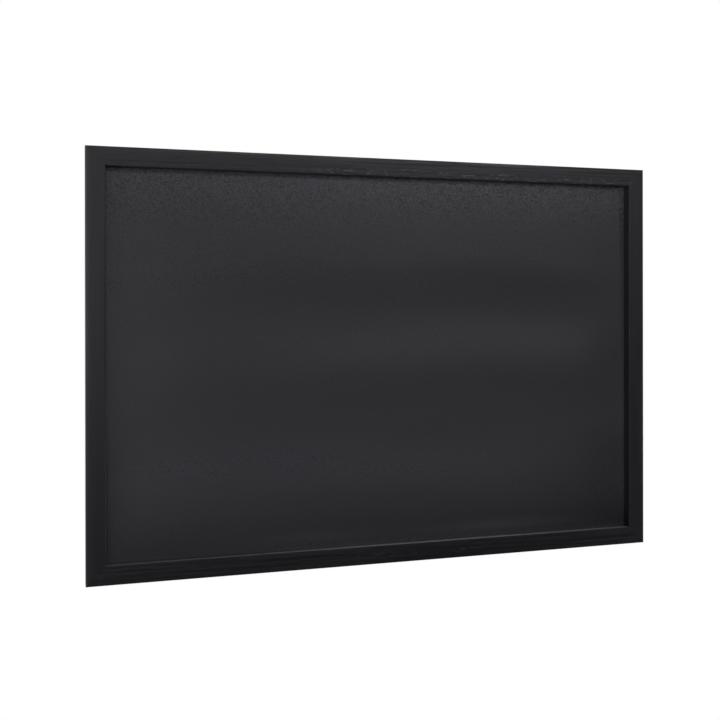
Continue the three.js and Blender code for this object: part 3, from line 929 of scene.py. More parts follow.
def repeated_tree():
    """One piece set at every station of a mesh, turned as the station says."""
    tree, w, size = new_node_tree("Pieces at Stations", {
        "Stations": "Object", "Piece": "Object", "Material": "Material"})
    stations = w.node("GeometryNodeObjectInfo", {"Object": size["Stations"]})
    piece = w.node("GeometryNodeObjectInfo", {"Object": size["Piece"]})
    turn = w.node("GeometryNodeInputNamedAttribute", {"Name": "turn"}, data_type="FLOAT_VECTOR")
    copies = w.node("GeometryNodeInstanceOnPoints", {
        "Points": stations.outputs["Geometry"], "Instance": piece.outputs["Geometry"],
        "Rotation": turn.outputs[0]})
    ended(w, copies.outputs[0], size["Material"])
    return tree


def set_out(name, piece, turns, material):
    """Puts a copy of a piece, drawn about its own middle, at each node. Turns are by node."""
    stations = bpy.data.meshes.new(name + "_stations")
    stations.from_pydata([centre_of(node) for node in turns], [], [])
    layer = stations.attributes.new("turn", "FLOAT_VECTOR", "POINT")
    for item, turn in zip(layer.data, turns.values()):
        item.vector = (0, turn, 0)
    marks = linked(bpy.data.objects.new(name + "_stations", stations))
    made = grown(name, repeated_tree(), {"Stations": marks, "Piece": piece, "Material": material})
    removed(marks, piece)
    on_board(smoothed(made), sorted(turns))


def centred(piece):
    """The piece with the middle of its box at the origin."""
    places = [vertex.co for vertex in piece.data.vertices]
    low = Vector(min(place[axis] for place in places) for axis in range(3))
    high = Vector(max(place[axis] for place in places) for axis in range(3))
    return placed(piece, place=-(low + high) / 2)


class Side:
    """One side of the frame, how its own coordinates lie in the board's, and its wood.

    The painted glints in the open grain have their stretch as shares of the length and their
    height as a share of the face. Figure says how plainly the lines of the grain show. The share
    that multiplies the stain is painted light: it makes a side lighter or darker as light falls on
    it.
    """

    def __init__(self, node, turn, open_grain, figure, paleness):
        self.node = node
        self.edge = node.split("_")[0]
        self.turn = turn
        self.length, across = OUTER_WIDTH, OUTER_HEIGHT
        if node.endswith("stile"):
            self.length, across = OUTER_HEIGHT, OUTER_WIDTH
        self.open_grain = open_grain
        self.figure = figure
        self.paleness = paleness
        reach = Vector((math.sin(turn), 0, math.cos(turn))) * across / 2
        self.origin = reach + Vector((0, 0, BOARD_CENTRE_Z))

    def own(self, place):
        """A place of the board in the side's own coordinates."""
        return Matrix.Rotation(-self.turn, 3, "Y") @ (Vector(place) - self.origin)


# Figure is how plainly the grain shows. The share that multiplies each side's stain is painted light:
# the top rail is made lightest and the bottom rail darkest, as the light falls on them. The grain
# settings give where painted glints show in the open pores, strongest near the top rail's inner edge.
SIDES = [
    Side("top_rail", 0, figure=0.75, paleness=1.35,
         open_grain={"Start": 0.30, "End": 1.08, "Height": 0.80, "Strength": 1.0}),
    Side("right_stile", math.pi / 2, figure=0.35, paleness=1.3,
         open_grain={"Start": 0.10, "End": 0.35, "Height": 0.50, "Strength": 0.1}),
    Side("bottom_rail", math.pi, figure=0.65, paleness=0.95,
         open_grain={"Start": 0.24, "End": 0.64, "Height": 0.50, "Strength": 0.2}),
    Side("left_stile", -math.pi / 2, figure=0.35, paleness=1.2,
         open_grain={"Start": 0.60, "End": 0.90, "Height": 0.50, "Strength": 0.1}),
]

# How far one side's grain is from the next one's, along it and, as a share of that, across it
SEED_STEP = 3.1
SEED_ACROSS_SHARE = 0.37

# A V-nail: two legs with curled ends, folded from a thin strip
NAIL_THICKNESS = 0.5 * MM
NAIL_LEG = 4.2 * MM
NAIL_CURL = 0.8 * MM
NAIL_FOLD_RADIUS = 0.5 * MM
NAIL_FOLD_STEPS = 5
NAIL_ARRIS = 0.08 * MM
NAIL_STEEL = (0.42, 0.43, 0.45)
NAIL_STAIN = (0.12, 0.10, 0.09)

# A framer's point: a blade whose tip narrows from its shoulders, which lie a share of its bite
# out from the rabbet wall, to a share of its width
POINT_WIDTH = 6 * MM
POINT_LENGTH = 14 * MM
POINT_BITE = 5 * MM
POINT_SHOULDER_SHARE = 0.35
POINT_TIP_SHARE = 0.3
POINT_CORNER = 0.6 * MM
POINT_ARRIS = 0.07 * MM
POINT_STEEL = (0.085, 0.088, 0.098)
POINT_RUST = (0.05, 0.035, 0.025)

# The screw's shank, and the sides of its hole in the wood
SHANK_DIAMETER = 2.9 * MM
HOLE_SIDES = 24


def nail_path(drawn_out=0.0, fold_radius=0.0):
    """The middle line of a V-nail in the top right corner: its legs meet at the origin."""
    slant = drawn_out / math.sqrt(2)
    straight = NAIL_LEG - NAIL_CURL
    tip = Vector((-NAIL_LEG - slant, NAIL_CURL + slant))
    fold = [Vector((0, 0))]
    if fold_radius:
        fold = arc((-fold_radius, -fold_radius), fold_radius, math.pi / 2, 0, NAIL_FOLD_STEPS)
    first = [tip, Vector((-straight, 0))]
    last = [Vector((0, -straight)), Vector((NAIL_CURL + slant, -NAIL_LEG - slant))]
    return first + fold + last


def nail_turn(node):
    """How far the nail's corner is turned from the top right one."""
    return next(turn for corner, turn in CORNER_TURNS.items() if corner in node)


def nail_slot(node, side):
    """The slot that a V-nail makes in a side, open at the back."""
    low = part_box(node)[0]
    outline = strip(nail_path(DRIVE_GAP), NAIL_THICKNESS + 2 * DRIVE_GAP)
    slot = centred(prism("slot", outline, low.y - DRIVE_GAP, OVERRUN, in_plate))
    own = side.own(centre_of(node))
    middle = Vector((own.x, (low.y - DRIVE_GAP + OVERRUN) / 2, own.z))
    return placed(slot, nail_turn(node) - side.turn, middle)


def point_slot(node, side):
    """The slot that a framer's point makes in the rabbet wall."""
    low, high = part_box(node)
    own = side.own(centre_of(node))
    half = POINT_WIDTH / 2 + DRIVE_GAP
    outline = [Vector(place) for place in (
        (own.x - half, -BACK_WIDTH - OVERRUN), (own.x + half, -BACK_WIDTH - OVERRUN),
        (own.x + half, -BACK_WIDTH + POINT_BITE + DRIVE_GAP),
        (own.x - half, -BACK_WIDTH + POINT_BITE + DRIVE_GAP))]
    return prism("slot", outline, low.y - DRIVE_GAP, high.y + DRIVE_GAP, in_plate)


def pilot_hole(node, side):
    """The hole that a hanger's screw is driven into."""
    own = side.own(centre_of(node))
    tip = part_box(node)[0].y - DRIVE_GAP
    radius = SHANK_DIAMETER / 2 + DRIVE_GAP
    hole = turned("hole", [(0, tip), (radius, tip), (radius, OVERRUN), (0, OVERRUN)], HOLE_SIDES)
    return placed(hole, place=(own.x, 0, own.z))


def slots_of(side):
    """Every slot and hole in one side, as one cutter."""
    cutters = [nail_slot(node, side) for node in nodes_named("v_nail_") if side.edge in node]
    cutters += [point_slot(node, side) for node in nodes_named("panel_point_" + side.edge)]
    cutters += [pilot_hole(node, side) for node in nodes_named(side.edge + "_hanger_screw")]
    return joined(side.node + "_slots", cutters)


class CHALKBOARD_OT_frame_sides(bpy.types.Operator):
    """Make the four mitred sides of the frame, with the slots of their nails and points"""

    bl_idname = "chalkboard.frame_sides"
    bl_label = "Frame Sides"

    def execute(self, context):
        sizes = context.scene.board_sizes
        wood = black_stained_wood(context.scene.board_finishes.stain)
        tree = moulding_tree()
        for number, side in enumerate(SIDES):
            slots = slots_of(side)
            open_grain = {"Open Grain " + label: share for label, share in side.open_grain.items()}
            piece = grown(side.node + "_moulding", tree, {
                "Length": side.length, "Face": RAIL_FACE, "Depth": RAIL_DEPTH,
                "Lip": LIP_THICKNESS, "Rabbet": RABBET_WIDTH, "Outer Arris": sizes.outer_arris,
                "Inner Arris": sizes.inner_arris, "Back Arris": sizes.back_arris,
                "Saw Arris": sizes.saw_arris, "Crown": sizes.face_crown,
                "Glue Line": sizes.glue_line, "Arris Steps": ARRIS_STEPS, "Cell": MOULDING_CELL,
                "Sanding": sizes.hand_sanding, "Seed": SEED_STEP * number, "Slots": slots,
                "Rubbed Edge": sizes.rubbed_edge if side.edge == "bottom" else 0.0,
                "Figure": side.figure, "Paleness": side.paleness, "Turn": side.turn,
                "Place": side.origin, "Material": wood, **open_grain})
            removed(slots)
            on_board(smoothed(piece), [side.node])
        return {"FINISHED"}


# Where the panel's waves start, where they change height, by width in shares of the panel's,
# how far in its edges hold it flat, and how far the waves drift
WAVE_TOP = -98 * MM
SIDE_WAVE_START = -50 * MM
WAVE_BY_WIDTH = Stretch(-0.35, 0.0, 0.4, 1.0)
WAVE_BY_HEIGHT = Stretch(-210 * MM, -290 * MM, 1.0, 0.95)
SIDE_WAVE_BY_HEIGHT = Stretch(-90 * MM, -165 * MM, 0.0, 1.3)
HELD_BY_STILES = Stretch(8 * MM, 90 * MM)
HELD_BY_RAILS = Stretch(8 * MM, 30 * MM)
WAVE_DRIFT = 1.6
WAVE_SEED = 2.0
PANEL_ARRIS = 0.3 * MM


def wave_phase(w, start, end, pitch):
    """How far round a wave it is from one place to another, in radians."""
    return w.times(w.over(w.minus(end, start), pitch), 2 * math.pi)


def panel_lift(w, size, width, height):
    """How far the panel's long waves carry it back from flat. Its edges are held flat."""
    place = w.position()
    x, _, z = w.parts(place)
    middle_x, _, middle_z = w.parts(size["Place"])
    seeded = w.vector("ADD", place, w.joined(size["Seed"], size["Seed"], 0.0))
    drift = w.times(w.minus(w.noise(seeded, (3.2, 0, 3.2), detail=1), 0.5), WAVE_DRIFT)
    phase = w.minus(wave_phase(w, z, size["Wave Top"], size["Wave Pitch"]), drift)
    wave = w.scaled(w.math("COSINE", w.math("MAXIMUM", phase, 0.0)), -0.5, 0.5)
    across = w.over(w.minus(x, middle_x), width)
    wave = w.times(wave, WAVE_BY_WIDTH.share(w, across), size["Wave Height"],
                   WAVE_BY_HEIGHT.share(w, z))
    side_phase = wave_phase(w, size["Side Start"], x, size["Side Pitch"])
    side_wave = w.times(w.math("SINE", side_phase), size["Side Height"],
                        SIDE_WAVE_BY_HEIGHT.share(w, z))
    room_x = w.minus(w.times(width, 0.5), w.apart(x, middle_x))
    room_z = w.minus(w.times(height, 0.5), w.apart(z, middle_z))
    held = w.times(HELD_BY_STILES.share(w, room_x), HELD_BY_RAILS.share(w, room_z))
    return w.times(w.minus(wave, side_wave), held)


def panel_tree():
    """The writing panel: a thin closed board whose faces follow long waves across it."""
    tree, w, size = new_node_tree("Writing Panel", {
        "Size": "Vector", "Place": "Vector", "Cell": "Float", "Wave Height": "Float",
        "Wave Pitch": "Float", "Wave Top": "Float", "Side Height": "Float", "Side Pitch": "Float",
        "Side Start": "Float", "Seed": "Float", "Coat": "Material", "Material": "Material"})
    width, _, height = w.parts(size["Size"])
    board = w.node("GeometryNodeMeshCube", {
        "Size": size["Size"], "Vertices X": w.over(width, size["Cell"]),
        "Vertices Y": 2, "Vertices Z": w.over(height, size["Cell"])})
    board = w.node("GeometryNodeTransform", {
        "Geometry": board.outputs[0], "Translation": size["Place"]}).outputs[0]
    board = w.moved(board, offset=w.joined(0.0, panel_lift(w, size, width, height), 0.0))
    board = w.node("GeometryNodeRealizeInstances", {"Geometry": board}).outputs[0]
    coated = w.node("GeometryNodeSetMaterial", {"Geometry": board, "Material": size["Coat"]})
    normal = w.node("GeometryNodeInputNormal").outputs[0]
    at_back = w.math("GREATER_THAN", w.parts(normal)[1], -0.5)
    done = w.node("GeometryNodeSetMaterial", {
        "Geometry": coated.outputs[0], "Selection": at_back, "Material": size["Material"]})
    w.node("NodeGroupOutput", {"Geometry": done.outputs[0]})
    return tree


class CHALKBOARD_OT_writing_panel(bpy.types.Operator):
    """Make the writing panel, coated in front and bare behind"""

    bl_idname = "chalkboard.writing_panel"
    bl_label = "Writing Panel"

    def execute(self, context):
        sizes = context.scene.board_sizes
        finishes = context.scene.board_finishes
        piece = grown("writing_panel", panel_tree(), {
            "Size": panel_high - panel_low, "Place": (panel_low + panel_high) / 2,
            "Cell": sizes.panel_cell, "Wave Height": sizes.panel_bow,
            "Wave Pitch": sizes.wave_pitch, "Wave Top": WAVE_TOP, "Side Height": sizes.side_bow,
            "Side Pitch": sizes.side_pitch, "Side Start": SIDE_WAVE_START, "Seed": WAVE_SEED,
            "Coat": writing_coat(finishes.writing_coat),
            "Material": fibreboard(finishes.fibreboard)})
        eased(piece, PANEL_ARRIS, sharper_than=math.radians(60))
        on_board(smoothed(piece), ["chalk_panel"])
        return {"FINISHED"}


class CHALKBOARD_OT_corner_nails(bpy.types.Operator):
    """Make the folded V-nails that hold the mitres together"""

    bl_idname = "chalkboard.corner_nails"
    bl_label = "Corner Nails"

    def execute(self, context):
        nodes = nodes_named("v_nail_")
        low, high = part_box(nodes[0])
        outline = strip(nail_path(fold_radius=NAIL_FOLD_RADIUS), NAIL_THICKNESS)
        nail = centred(eased(prism("nail", outline, low.y, high.y, in_plate), NAIL_ARRIS))
        steel = worked_steel("v_nail_finish", NAIL_STEEL, 0.34, NAIL_STAIN, 0.3)
        turns = {node: nail_turn(node) for node in nodes}
        set_out("corner_nails", nail, turns, steel)
        return {"FINISHED"}


class CHALKBOARD_OT_framers_points(bpy.types.Operator):
    """Make the flat steel points that hold the panel against the lip"""

    bl_idname = "chalkboard.framers_points"
    bl_label = "Framer's Points"

    def execute(self, context):
        nodes = nodes_named("panel_point_")
        low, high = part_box(nodes[0])
        half = POINT_WIDTH / 2
        tail = POINT_LENGTH - POINT_BITE
        shoulder, tip = POINT_SHOULDER_SHARE * POINT_BITE, POINT_TIP_SHARE * half
        outline = rounded([
            (Vector((-half, -tail)), POINT_CORNER), (Vector((half, -tail)), POINT_CORNER),
            (Vector((half, shoulder)), 0), (Vector((tip, POINT_BITE)), 0),
            (Vector((-tip, POINT_BITE)), 0), (Vector((-half, shoulder)), 0)])
        point = centred(eased(prism("point", outline, low.y, high.y, in_plate), POINT_ARRIS))
        steel = worked_steel("panel_point_finish", POINT_STEEL, 0.42, POINT_RUST, 0.35)
        turns = {node: side.turn for side in SIDES for node in nodes if side.edge in node}
        set_out("framers_points", point, turns, steel)
        return {"FINISHED"}


# A strap: its leaves, how far its fold turns past the eye before its neck, and its round end
STRAP_THICKNESS = 0.7 * MM
LEAF_GAP = 0.2 * MM
NECK_ANGLE_SHARE = 0.28
FOLD_STEPS = 36
STRAP_END_SHARE = 0.92
STRAP_END_STEPS = 10
STRAP_ARRIS = 0.12 * MM
STRAP_HOLE_SIDES = 40
STRAP_STAIN = (0.33, 0.32, 0.29)


def eye_of(side):
    """The place of the ring's axis in one hanger."""
    joint = next(joint for joint in frame["joints"] if joint["name"] == side + "_ring_swing")
    return Vector(joint["pos_m"])


def fold_path(low, high, eye):
    """The strap's fold in Y and Z: up the inner leaf, round the eye and down the outer leaf."""
    fold = high.y - STRAP_THICKNESS / 2 - eye.y
    inner = low.y + STRAP_THICKNESS / 2
    outer = inner + STRAP_THICKNESS + LEAF_GAP
    turn = -math.pi * NECK_ANGLE_SHARE
    bend = arc((eye.y, eye.z), fold, math.pi, turn, FOLD_STEPS)
    neck = bend[-1].y - (bend[-1].x - outer) / math.tan(-turn)
    return [Vector((inner, low.z)), *bend, Vector((outer, neck)), Vector((outer, low.z))]


def hanger_strap(node, eye):
    """A folded strap with a round lower end and a hole through both leaves."""
    low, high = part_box(node)
    section = strip(fold_path(low, high, eye), STRAP_THICKNESS)
    strap = prism("strap", section, low.x, high.x, in_bar)
    half = (high.x - low.x) / 2
    end_radius = half * STRAP_END_SHARE
    outline = rounded([
        (Vector((low.x, low.z)), end_radius), (Vector((high.x, low.z)), end_radius),
        (Vector((high.x, high.z + OVERRUN)), 0), (Vector((low.x, high.z + OVERRUN)), 0),
    ], STRAP_END_STEPS)
    carved(strap, prism("trim", outline, low.y - OVERRUN, high.y + OVERRUN, in_plate), "INTERSECT")
    screw = centre_of(node.replace("strap", "screw"))
    radius = SHANK_DIAMETER / 2 + DRIVE_GAP
    start, end = low.y - OVERRUN, high.y + OVERRUN
    profile = [(0, start), (radius, start), (radius, end), (0, end)]
    hole = turned("hole", profile, STRAP_HOLE_SIDES)
    carved(strap, placed(hole, place=(screw.x, 0, screw.z)))
    return eased(strap, STRAP_ARRIS)


class CHALKBOARD_OT_hanger_straps(bpy.types.Operator):
    """Make the two folded straps that carry the rings"""

    bl_idname = "chalkboard.hanger_straps"
    bl_label = "Hanger Straps"

    def execute(self, context):
        nodes = nodes_named("left_hanger_strap") + nodes_named("right_hanger_strap")
        strap = centred(hanger_strap(nodes[0], eye_of("left")))
        zinc = worked_steel("strap_finish", context.scene.board_finishes.zinc, 0.30,
                            STRAP_STAIN, 0.5)
        set_out("hanger_straps", strap, dict.fromkeys(nodes, 0.0), zinc)
        return {"FINISHED"}


# A ring: the bends beside its straight side, the gap of its butt joint, and its wire's sides
RING_CORNER_RADIUS = 1.6 * MM
RING_JOINT = 0.4 * MM
RING_BEND_STEPS = 16
WIRE_SIDES = 24
RING_STAIN = (0.38, 0.37, 0.34)


def ring_tree():
    """A D-ring bent from wire: its straight side turns in the strap, its bow hangs below."""
    tree, w, size = new_node_tree("Wire Ring", {
        "Half Width": "Float", "Reach": "Float", "Corner Radius": "Float", "Joint": "Float",
        "Wire": "Float", "Bend Steps": "Int", "Wire Sides": "Int", "Tilt": "Float",
        "Place": "Vector", "Material": "Material"})
    half, bow = size["Half Width"], w.times(size["Reach"], -1.0)
    other, end = w.times(half, -1.0), w.times(size["Joint"], 0.5)
    line = filleted_line(w, [
        (end, 0.0, 0.0), (half, 0.0, size["Corner Radius"]), (half, bow, half),
        (other, bow, half), (other, 0.0, size["Corner Radius"]),
        (w.times(end, -1.0), 0.0, 0.0)], size["Bend Steps"], False)
    wire = w.node("GeometryNodeCurvePrimitiveCircle", {
        "Resolution": size["Wire Sides"], "Radius": w.times(size["Wire"], 0.5)})
    ring = w.node("GeometryNodeCurveToMesh", {
        "Curve": line, "Profile Curve": wire.outputs[0], "Fill Caps": True})
    upright = w.joined(w.plus(size["Tilt"], math.pi / 2), 0.0, 0.0)
    hung = w.node("GeometryNodeTransform", {
        "Geometry": ring.outputs[0], "Translation": size["Place"], "Rotation": upright})
    ended(w, hung.outputs[0], size["Material"])
    return tree


class CHALKBOARD_OT_hanging_rings(bpy.types.Operator):
    """Make the two wire rings that the board hangs on"""

    bl_idname = "chalkboard.hanging_rings"
    bl_label = "Hanging Rings"

    def execute(self, context):
        zinc = worked_steel("ring_finish", context.scene.board_finishes.zinc, 0.22,
                            RING_STAIN, 0.35)
        tree = ring_tree()
        for hand in ("left", "right"):
            node = hand + "_ring"
            low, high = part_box(node)
            eye = eye_of(hand)
            wire = 2 * (high.z - eye.z)
            out, down = high.y - wire / 2 - eye.y, eye.z - low.z - wire / 2
            piece = grown(node + "_wire", tree, {
                "Half Width": (high.x - low.x - wire) / 2, "Reach": math.hypot(out, down),
                "Corner Radius": RING_CORNER_RADIUS, "Joint": RING_JOINT, "Wire": wire,
                "Bend Steps": RING_BEND_STEPS, "Wire Sides": WIRE_SIDES,
                "Tilt": math.atan2(out, down), "Place": eye, "Material": zinc})
            on_board(smoothed(piece), [node], hand + "_hanging_ring")
        return {"FINISHED"}


# The screw's thread: where it ends under the head, and its depth at the tip as a share of the
# radius there
THREAD_PITCH = 1.3 * MM
THREAD_DEPTH = 0.35 * MM
THREAD_END_GAP = 2 * MM
THREAD_TIP_SHARE = 0.6

# Its shank: the rows of faces along it, and the neck that it has under the head
SHANK_ROWS = 96
SHANK_NECK = 1.5 * MM
SHANK_RELIEF = 0.05 * MM
TIP_LENGTH = 3 * MM
SCREW_SIDES = 48

# Its head: where the rim stands, as a share of its height, and the steps of the pan over it
HEAD_DIAMETER = 5.5 * MM
HEAD_HEIGHT = 1.7 * MM
HEAD_ARRIS = 0.15 * MM
HEAD_RIM_SHARE = 0.35
HEAD_STEPS = 12

# Its cross recess: half its span and half the width of its arms at the top, and how it narrows
RECESS_SPAN = 1.55 * MM
RECESS_WIDTH = 0.45 * MM
RECESS_DEPTH = 1.0 * MM
RECESS_TAPER_SHARE = 0.55
SCREW_STAIN = (0.30, 0.28, 0.24)


def wood_screw(low, high):
    """A pan-head wood screw along Y, its tip at the front, with a cross recess in its head."""
    shank, head = SHANK_DIAMETER / 2, HEAD_DIAMETER / 2
    under = high.y - HEAD_HEIGHT
    rim = under + HEAD_RIM_SHARE * HEAD_HEIGHT
    profile = [(0, low.y)]
    for row in range(1, SHANK_ROWS + 1):
        y = low.y + (under - SHANK_NECK - low.y) * row / SHANK_ROWS
        profile.append((shank * min(1.0, (y - low.y) / TIP_LENGTH), y))
    profile += [(shank - SHANK_RELIEF, under), (head - HEAD_ARRIS, under),
                (head, under + HEAD_ARRIS)]
    for spot in arc((0, 0), 1, 0, math.pi / 2, HEAD_STEPS):
        profile.append((head * spot.x, rim + (high.y - rim) * spot.y))

    def thread(radius, y, angle):
        """The radius with the groove between two turns of the thread taken off."""
        if y > under - THREAD_END_GAP:
            return radius
        phase = ((y - low.y) / THREAD_PITCH - angle / (2 * math.pi)) % 1
        groove = min(THREAD_DEPTH, THREAD_TIP_SHARE * radius)
        return radius - groove * min(1.0, 3 * min(phase, 1 - phase))

    screw = turned("screw", profile, SCREW_SIDES, thread)
    quarter = [(-RECESS_SPAN, -RECESS_WIDTH), (-RECESS_WIDTH, -RECESS_WIDTH),
               (-RECESS_WIDTH, -RECESS_SPAN)]
    cross = []
    for _ in range(4):
        cross += [Vector(place) for place in quarter]
        quarter = [(-z, x) for x, z in quarter]
    recess = prism("recess", cross, high.y - RECESS_DEPTH, high.y + OVERRUN, in_plate,
                   RECESS_TAPER_SHARE)
    return carved(screw, recess)


class CHALKBOARD_OT_hanger_screws(bpy.types.Operator):
    """Make the screws that hold the straps to the stiles"""

    bl_idname = "chalkboard.hanger_screws"
    bl_label = "Hanger Screws"

    def execute(self, context):
        nodes = nodes_named("left_hanger_screw") + nodes_named("right_hanger_screw")
        screw = centred(wood_screw(*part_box(nodes[0])))
        zinc = worked_steel("screw_finish", context.scene.board_finishes.zinc, 0.26,
                            SCREW_STAIN, 0.4)
        set_out("hanger_screws", screw, dict.fromkeys(nodes, 0.0), zinc)
        return {"FINISHED"}


# A pad: its rounded rim towards the wall, and its small arris next to the wood
PAD_RIM = 1.2 * MM
PAD_ARRIS = 0.15 * MM
PAD_RIM_STEPS = 10
PAD_SIDES = 64


class CHALKBOARD_OT_wall_pads(bpy.types.Operator):
    """Make the round rubber pads that keep the board off the wall"""

    bl_idname = "chalkboard.wall_pads"
    bl_label = "Wall Pads"

    def execute(self, context):
        nodes = nodes_named("wall_pad_")
        low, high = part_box(nodes[0])
        radius = (high.x - low.x) / 2
        profile = [(0, low.y), (radius - PAD_ARRIS, low.y), (radius, low.y + PAD_ARRIS)]
        rim = arc((radius - PAD_RIM, high.y - PAD_RIM), PAD_RIM, 0, math.pi / 2, PAD_RIM_STEPS)
        profile += [(spot.x, spot.y) for spot in rim]
        profile.append((0, high.y))
        pad = centred(turned("pad", profile, PAD_SIDES))
        rubber = pad_rubber(context.scene.board_finishes.rubber)
        set_out("wall_pads", pad, dict.fromkeys(nodes, 0.0), rubber)
        return {"FINISHED"}


# The floor: its size, and how far out it thins out to nothing
FLOOR_RADIUS = 2.2
FLOOR_SIDES = 96
FLOOR_FADE = (1.2, 2.0)


def pale_floor(name):
    """A pale studio floor that thins out to nothing far from the board."""
    material, w, shader = new_material(name)
    place = object_place(w)
    speckle = w.noise(place, (60, 60, 60), detail=3)
    tone = w.mix(speckle, (0.86, 0.86, 0.87, 1), (0.90, 0.90, 0.90, 1))
    w.feed(shader.inputs["Base Color"], tone)
    shader.inputs["Roughness"].default_value = 0.9
    away = w.node("ShaderNodeVectorMath", {0: place}, operation="LENGTH").outputs["Value"]
    clear = w.node("ShaderNodeBsdfTransparent")
    mixed = w.node("ShaderNodeMixShader", {
        0: w.remap(away, *FLOOR_FADE), 1: shader.outputs[0], 2: clear.outputs[0]})
    output = next(node for node in w.tree.nodes if node.type == "OUTPUT_MATERIAL")
    w.feed(output.inputs["Surface"], mixed.outputs[0])
    return material


class SoftBox:
    """A soft light in the room in front of the board, placed by direction, in degrees.

    Across counts to the right of straight ahead of the board, and up counts above level. Edges
    are how softly it ends across and up, and level is how strongly it shines.
    """

    def __init__(self, across, up, edges, level):
        self.across = across
        self.up = up
        self.edges = edges
        self.level = level

    def shining(self, w, across, up):
        """How strongly it shines from a direction, with soft edges all round."""
        share = self.level
        for value, (low, high), edge in zip((across, up), (self.across, self.up), self.edges):
            share = w.times(share, w.remap(value, low - edge, low + edge))
            share = w.times(share, w.remap(value, high + edge, high - edge))
        return share


SOFT_BOXES = {
    "low_left_box": SoftBox((-31, -5.5), (-3.7, 4.5), (4.8, 2.6), 4.9),
    "left_box": SoftBox((-48.5, -13.5), (2.8, 14), (7, 3.6), 3.1),
    "overhead_box": SoftBox((-3.5, 18), (23, 29.5), (5.8, 2.5), 6.0),
    "right_box": SoftBox((18.5, 32), (17.5, 25), (3.1, 2.5), 5.4),
    "low_right_box": SoftBox((16, 43.5), (6.7, 20.5), (4.1, 2.8), 0.9),
    "side_box": SoftBox((74.5, 98.5), (-19.5, -4.5), (4.4, 5.6), 11.5),
    "floor_bounce": SoftBox((-122, -55), (-74, -31), (9.5, 4.7), 7.0),
}

# The colour of all the light, and how bright the room is above, below and behind the board
STUDIO_COLOUR = (0.985, 0.985, 1.06)
ROOM_ABOVE = 0.08
ROOM_BELOW = 0.05
ROOM_BEHIND = 0.6

# Where the room passes into its lower half, in degrees, and into what is behind the board
HORIZON = (-8, -2)
BEHIND = (-0.10, 0.15)


def studio_world():
    """White behind the board for the camera, and soft boxes in the dim room in front of it."""
    world = bpy.data.worlds.new("studio")
    world.use_nodes = True
    world.node_tree.nodes.clear()
    w = NodeWriter(world.node_tree)
    x, y, z = w.parts(w.node("ShaderNodeTexCoord").outputs["Generated"])
    across = w.times(w.math("ARCTAN2", x, w.times(y, -1.0)), math.degrees(1))
    up = w.times(w.math("ARCSINE", z), math.degrees(1))
    behind = w.remap(y, *BEHIND)
    room = w.remap(up, *HORIZON, ROOM_BELOW, ROOM_ABOVE)
    light = w.scaled(behind, w.minus(ROOM_BEHIND, room), room)
    for box in SOFT_BOXES.values():
        light = w.plus(light, box.shining(w, across, up))
    studio = w.node("ShaderNodeBackground", {"Color": four(STUDIO_COLOUR), "Strength": light})
    white = w.node("ShaderNodeBackground", {"Color": (1, 1, 1, 1), "Strength": 1.0})
    ray = w.node("ShaderNodeLightPath").outputs
    mirrored = w.math("MAXIMUM", ray["Is Glossy Ray"], ray["Is Transmission Ray"])
    seen = w.math("MAXIMUM", ray["Is Camera Ray"], w.times(mirrored, behind))
    mixed = w.node("ShaderNodeMixShader", {0: seen, 1: studio.outputs[0], 2: white.outputs[0]})
    w.node("ShaderNodeOutputWorld", {"Surface": mixed.outputs[0]})
    return world


# The camera: its place, how far its picture is shifted, and its sensor's width in millimetres
CAMERA_PLACE = (-0.33734, -0.91446, -0.15529)
CAMERA_SHIFT = (0.08212, -0.07288)
SENSOR_WIDTH = 36


class CHALKBOARD_OT_stage(bpy.types.Operator):
    """Set the camera, the soft boxes, the floor and the white surroundings"""

    bl_idname = "chalkboard.stage"
    bl_label = "Stage and Camera"

    def execute(self, context):
        stage = context.scene.board_stage
        data = bpy.data.cameras.new("camera")
        data.lens = stage.lens
        data.sensor_width = SENSOR_WIDTH
        data.shift_x, data.shift_y = CAMERA_SHIFT
        camera = linked(bpy.data.objects.new("camera", data))
        camera.location = CAMERA_PLACE
        camera.rotation_euler = Euler((math.pi / 2, stage.roll, -stage.yaw))
        context.scene.camera = camera
        context.scene.world = studio_world()
        context.scene.view_settings.view_transform = "Standard"
        made = bmesh.new()
        bmesh.ops.create_circle(made, cap_ends=True, radius=FLOOR_RADIUS, segments=FLOOR_SIDES)
        mesh = bpy.data.meshes.new("floor")
        made.to_mesh(mesh)
        made.free()
        mesh.transform(Matrix.Translation((0, 0, cad_box[0].z - stage.floor_drop)))
        mesh.materials.append(pale_floor("studio_floor"))
        linked(bpy.data.objects.new("floor", mesh))
        return {"FINISHED"}


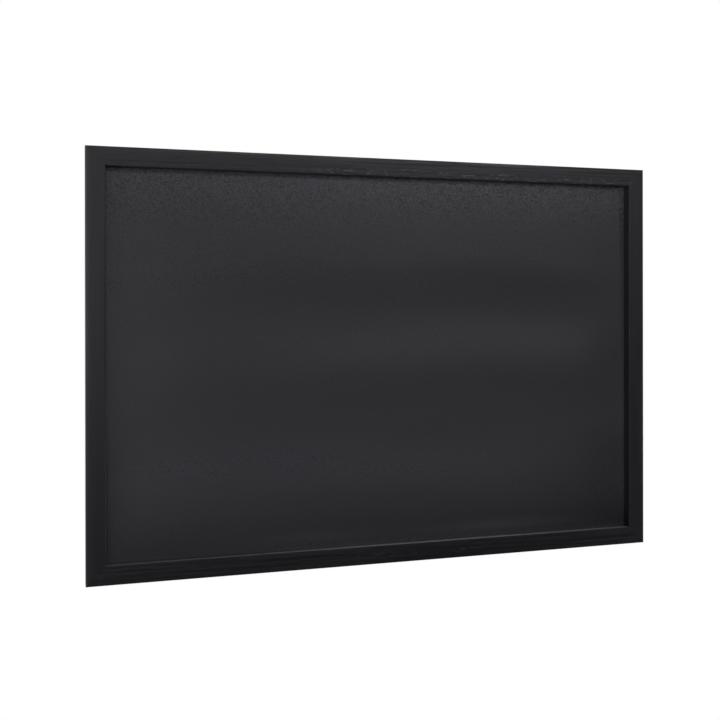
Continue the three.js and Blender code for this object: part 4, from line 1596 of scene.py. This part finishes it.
OPERATORS = [
    CHALKBOARD_OT_stage,
    CHALKBOARD_OT_frame_sides,
    CHALKBOARD_OT_writing_panel,
    CHALKBOARD_OT_corner_nails,
    CHALKBOARD_OT_framers_points,
    CHALKBOARD_OT_hanger_straps,
    CHALKBOARD_OT_hanging_rings,
    CHALKBOARD_OT_hanger_screws,
    CHALKBOARD_OT_wall_pads,
]


class CHALKBOARD_PT_pieces(bpy.types.Panel):
    """The board's settings and a button for each of its pieces"""

    bl_label = "Wall Chalkboard"
    bl_idname = "CHALKBOARD_PT_pieces"
    bl_space_type = "VIEW_3D"
    bl_region_type = "UI"
    bl_category = "Chalkboard"

    def draw(self, context):
        for label, group in (("Sizes", "board_sizes"), ("Finishes", "board_finishes"),
                             ("Stage", "board_stage")):
            box = self.layout.box()
            box.label(text=label)
            settings = getattr(context.scene, group)
            for name in settings.__annotations__:
                box.prop(settings, name)
        column = self.layout.column()
        for operator in OPERATORS:
            column.operator(operator.bl_idname)


SETTINGS = {"board_sizes": BoardSizes, "board_finishes": BoardFinishes, "board_stage": BoardStage}


def register():
    for settings in SETTINGS.values():
        bpy.utils.register_class(settings)
    for operator in OPERATORS:
        bpy.utils.register_class(operator)
    bpy.utils.register_class(CHALKBOARD_PT_pieces)
    for name, settings in SETTINGS.items():
        setattr(bpy.types.Scene, name, PointerProperty(type=settings))


def unregister():
    for name in SETTINGS:
        delattr(bpy.types.Scene, name)
    bpy.utils.unregister_class(CHALKBOARD_PT_pieces)
    for operator in reversed(OPERATORS):
        bpy.utils.unregister_class(operator)
    for settings in reversed(SETTINGS.values()):
        bpy.utils.unregister_class(settings)


def main():
    """Builds the whole board."""
    register()
    bpy.ops.chalkboard.stage()
    bpy.ops.chalkboard.frame_sides()
    bpy.ops.chalkboard.writing_panel()
    bpy.ops.chalkboard.corner_nails()
    bpy.ops.chalkboard.framers_points()
    bpy.ops.chalkboard.hanger_straps()
    bpy.ops.chalkboard.hanging_rings()
    bpy.ops.chalkboard.hanger_screws()
    bpy.ops.chalkboard.wall_pads()


if __name__ == "__main__":
    main()
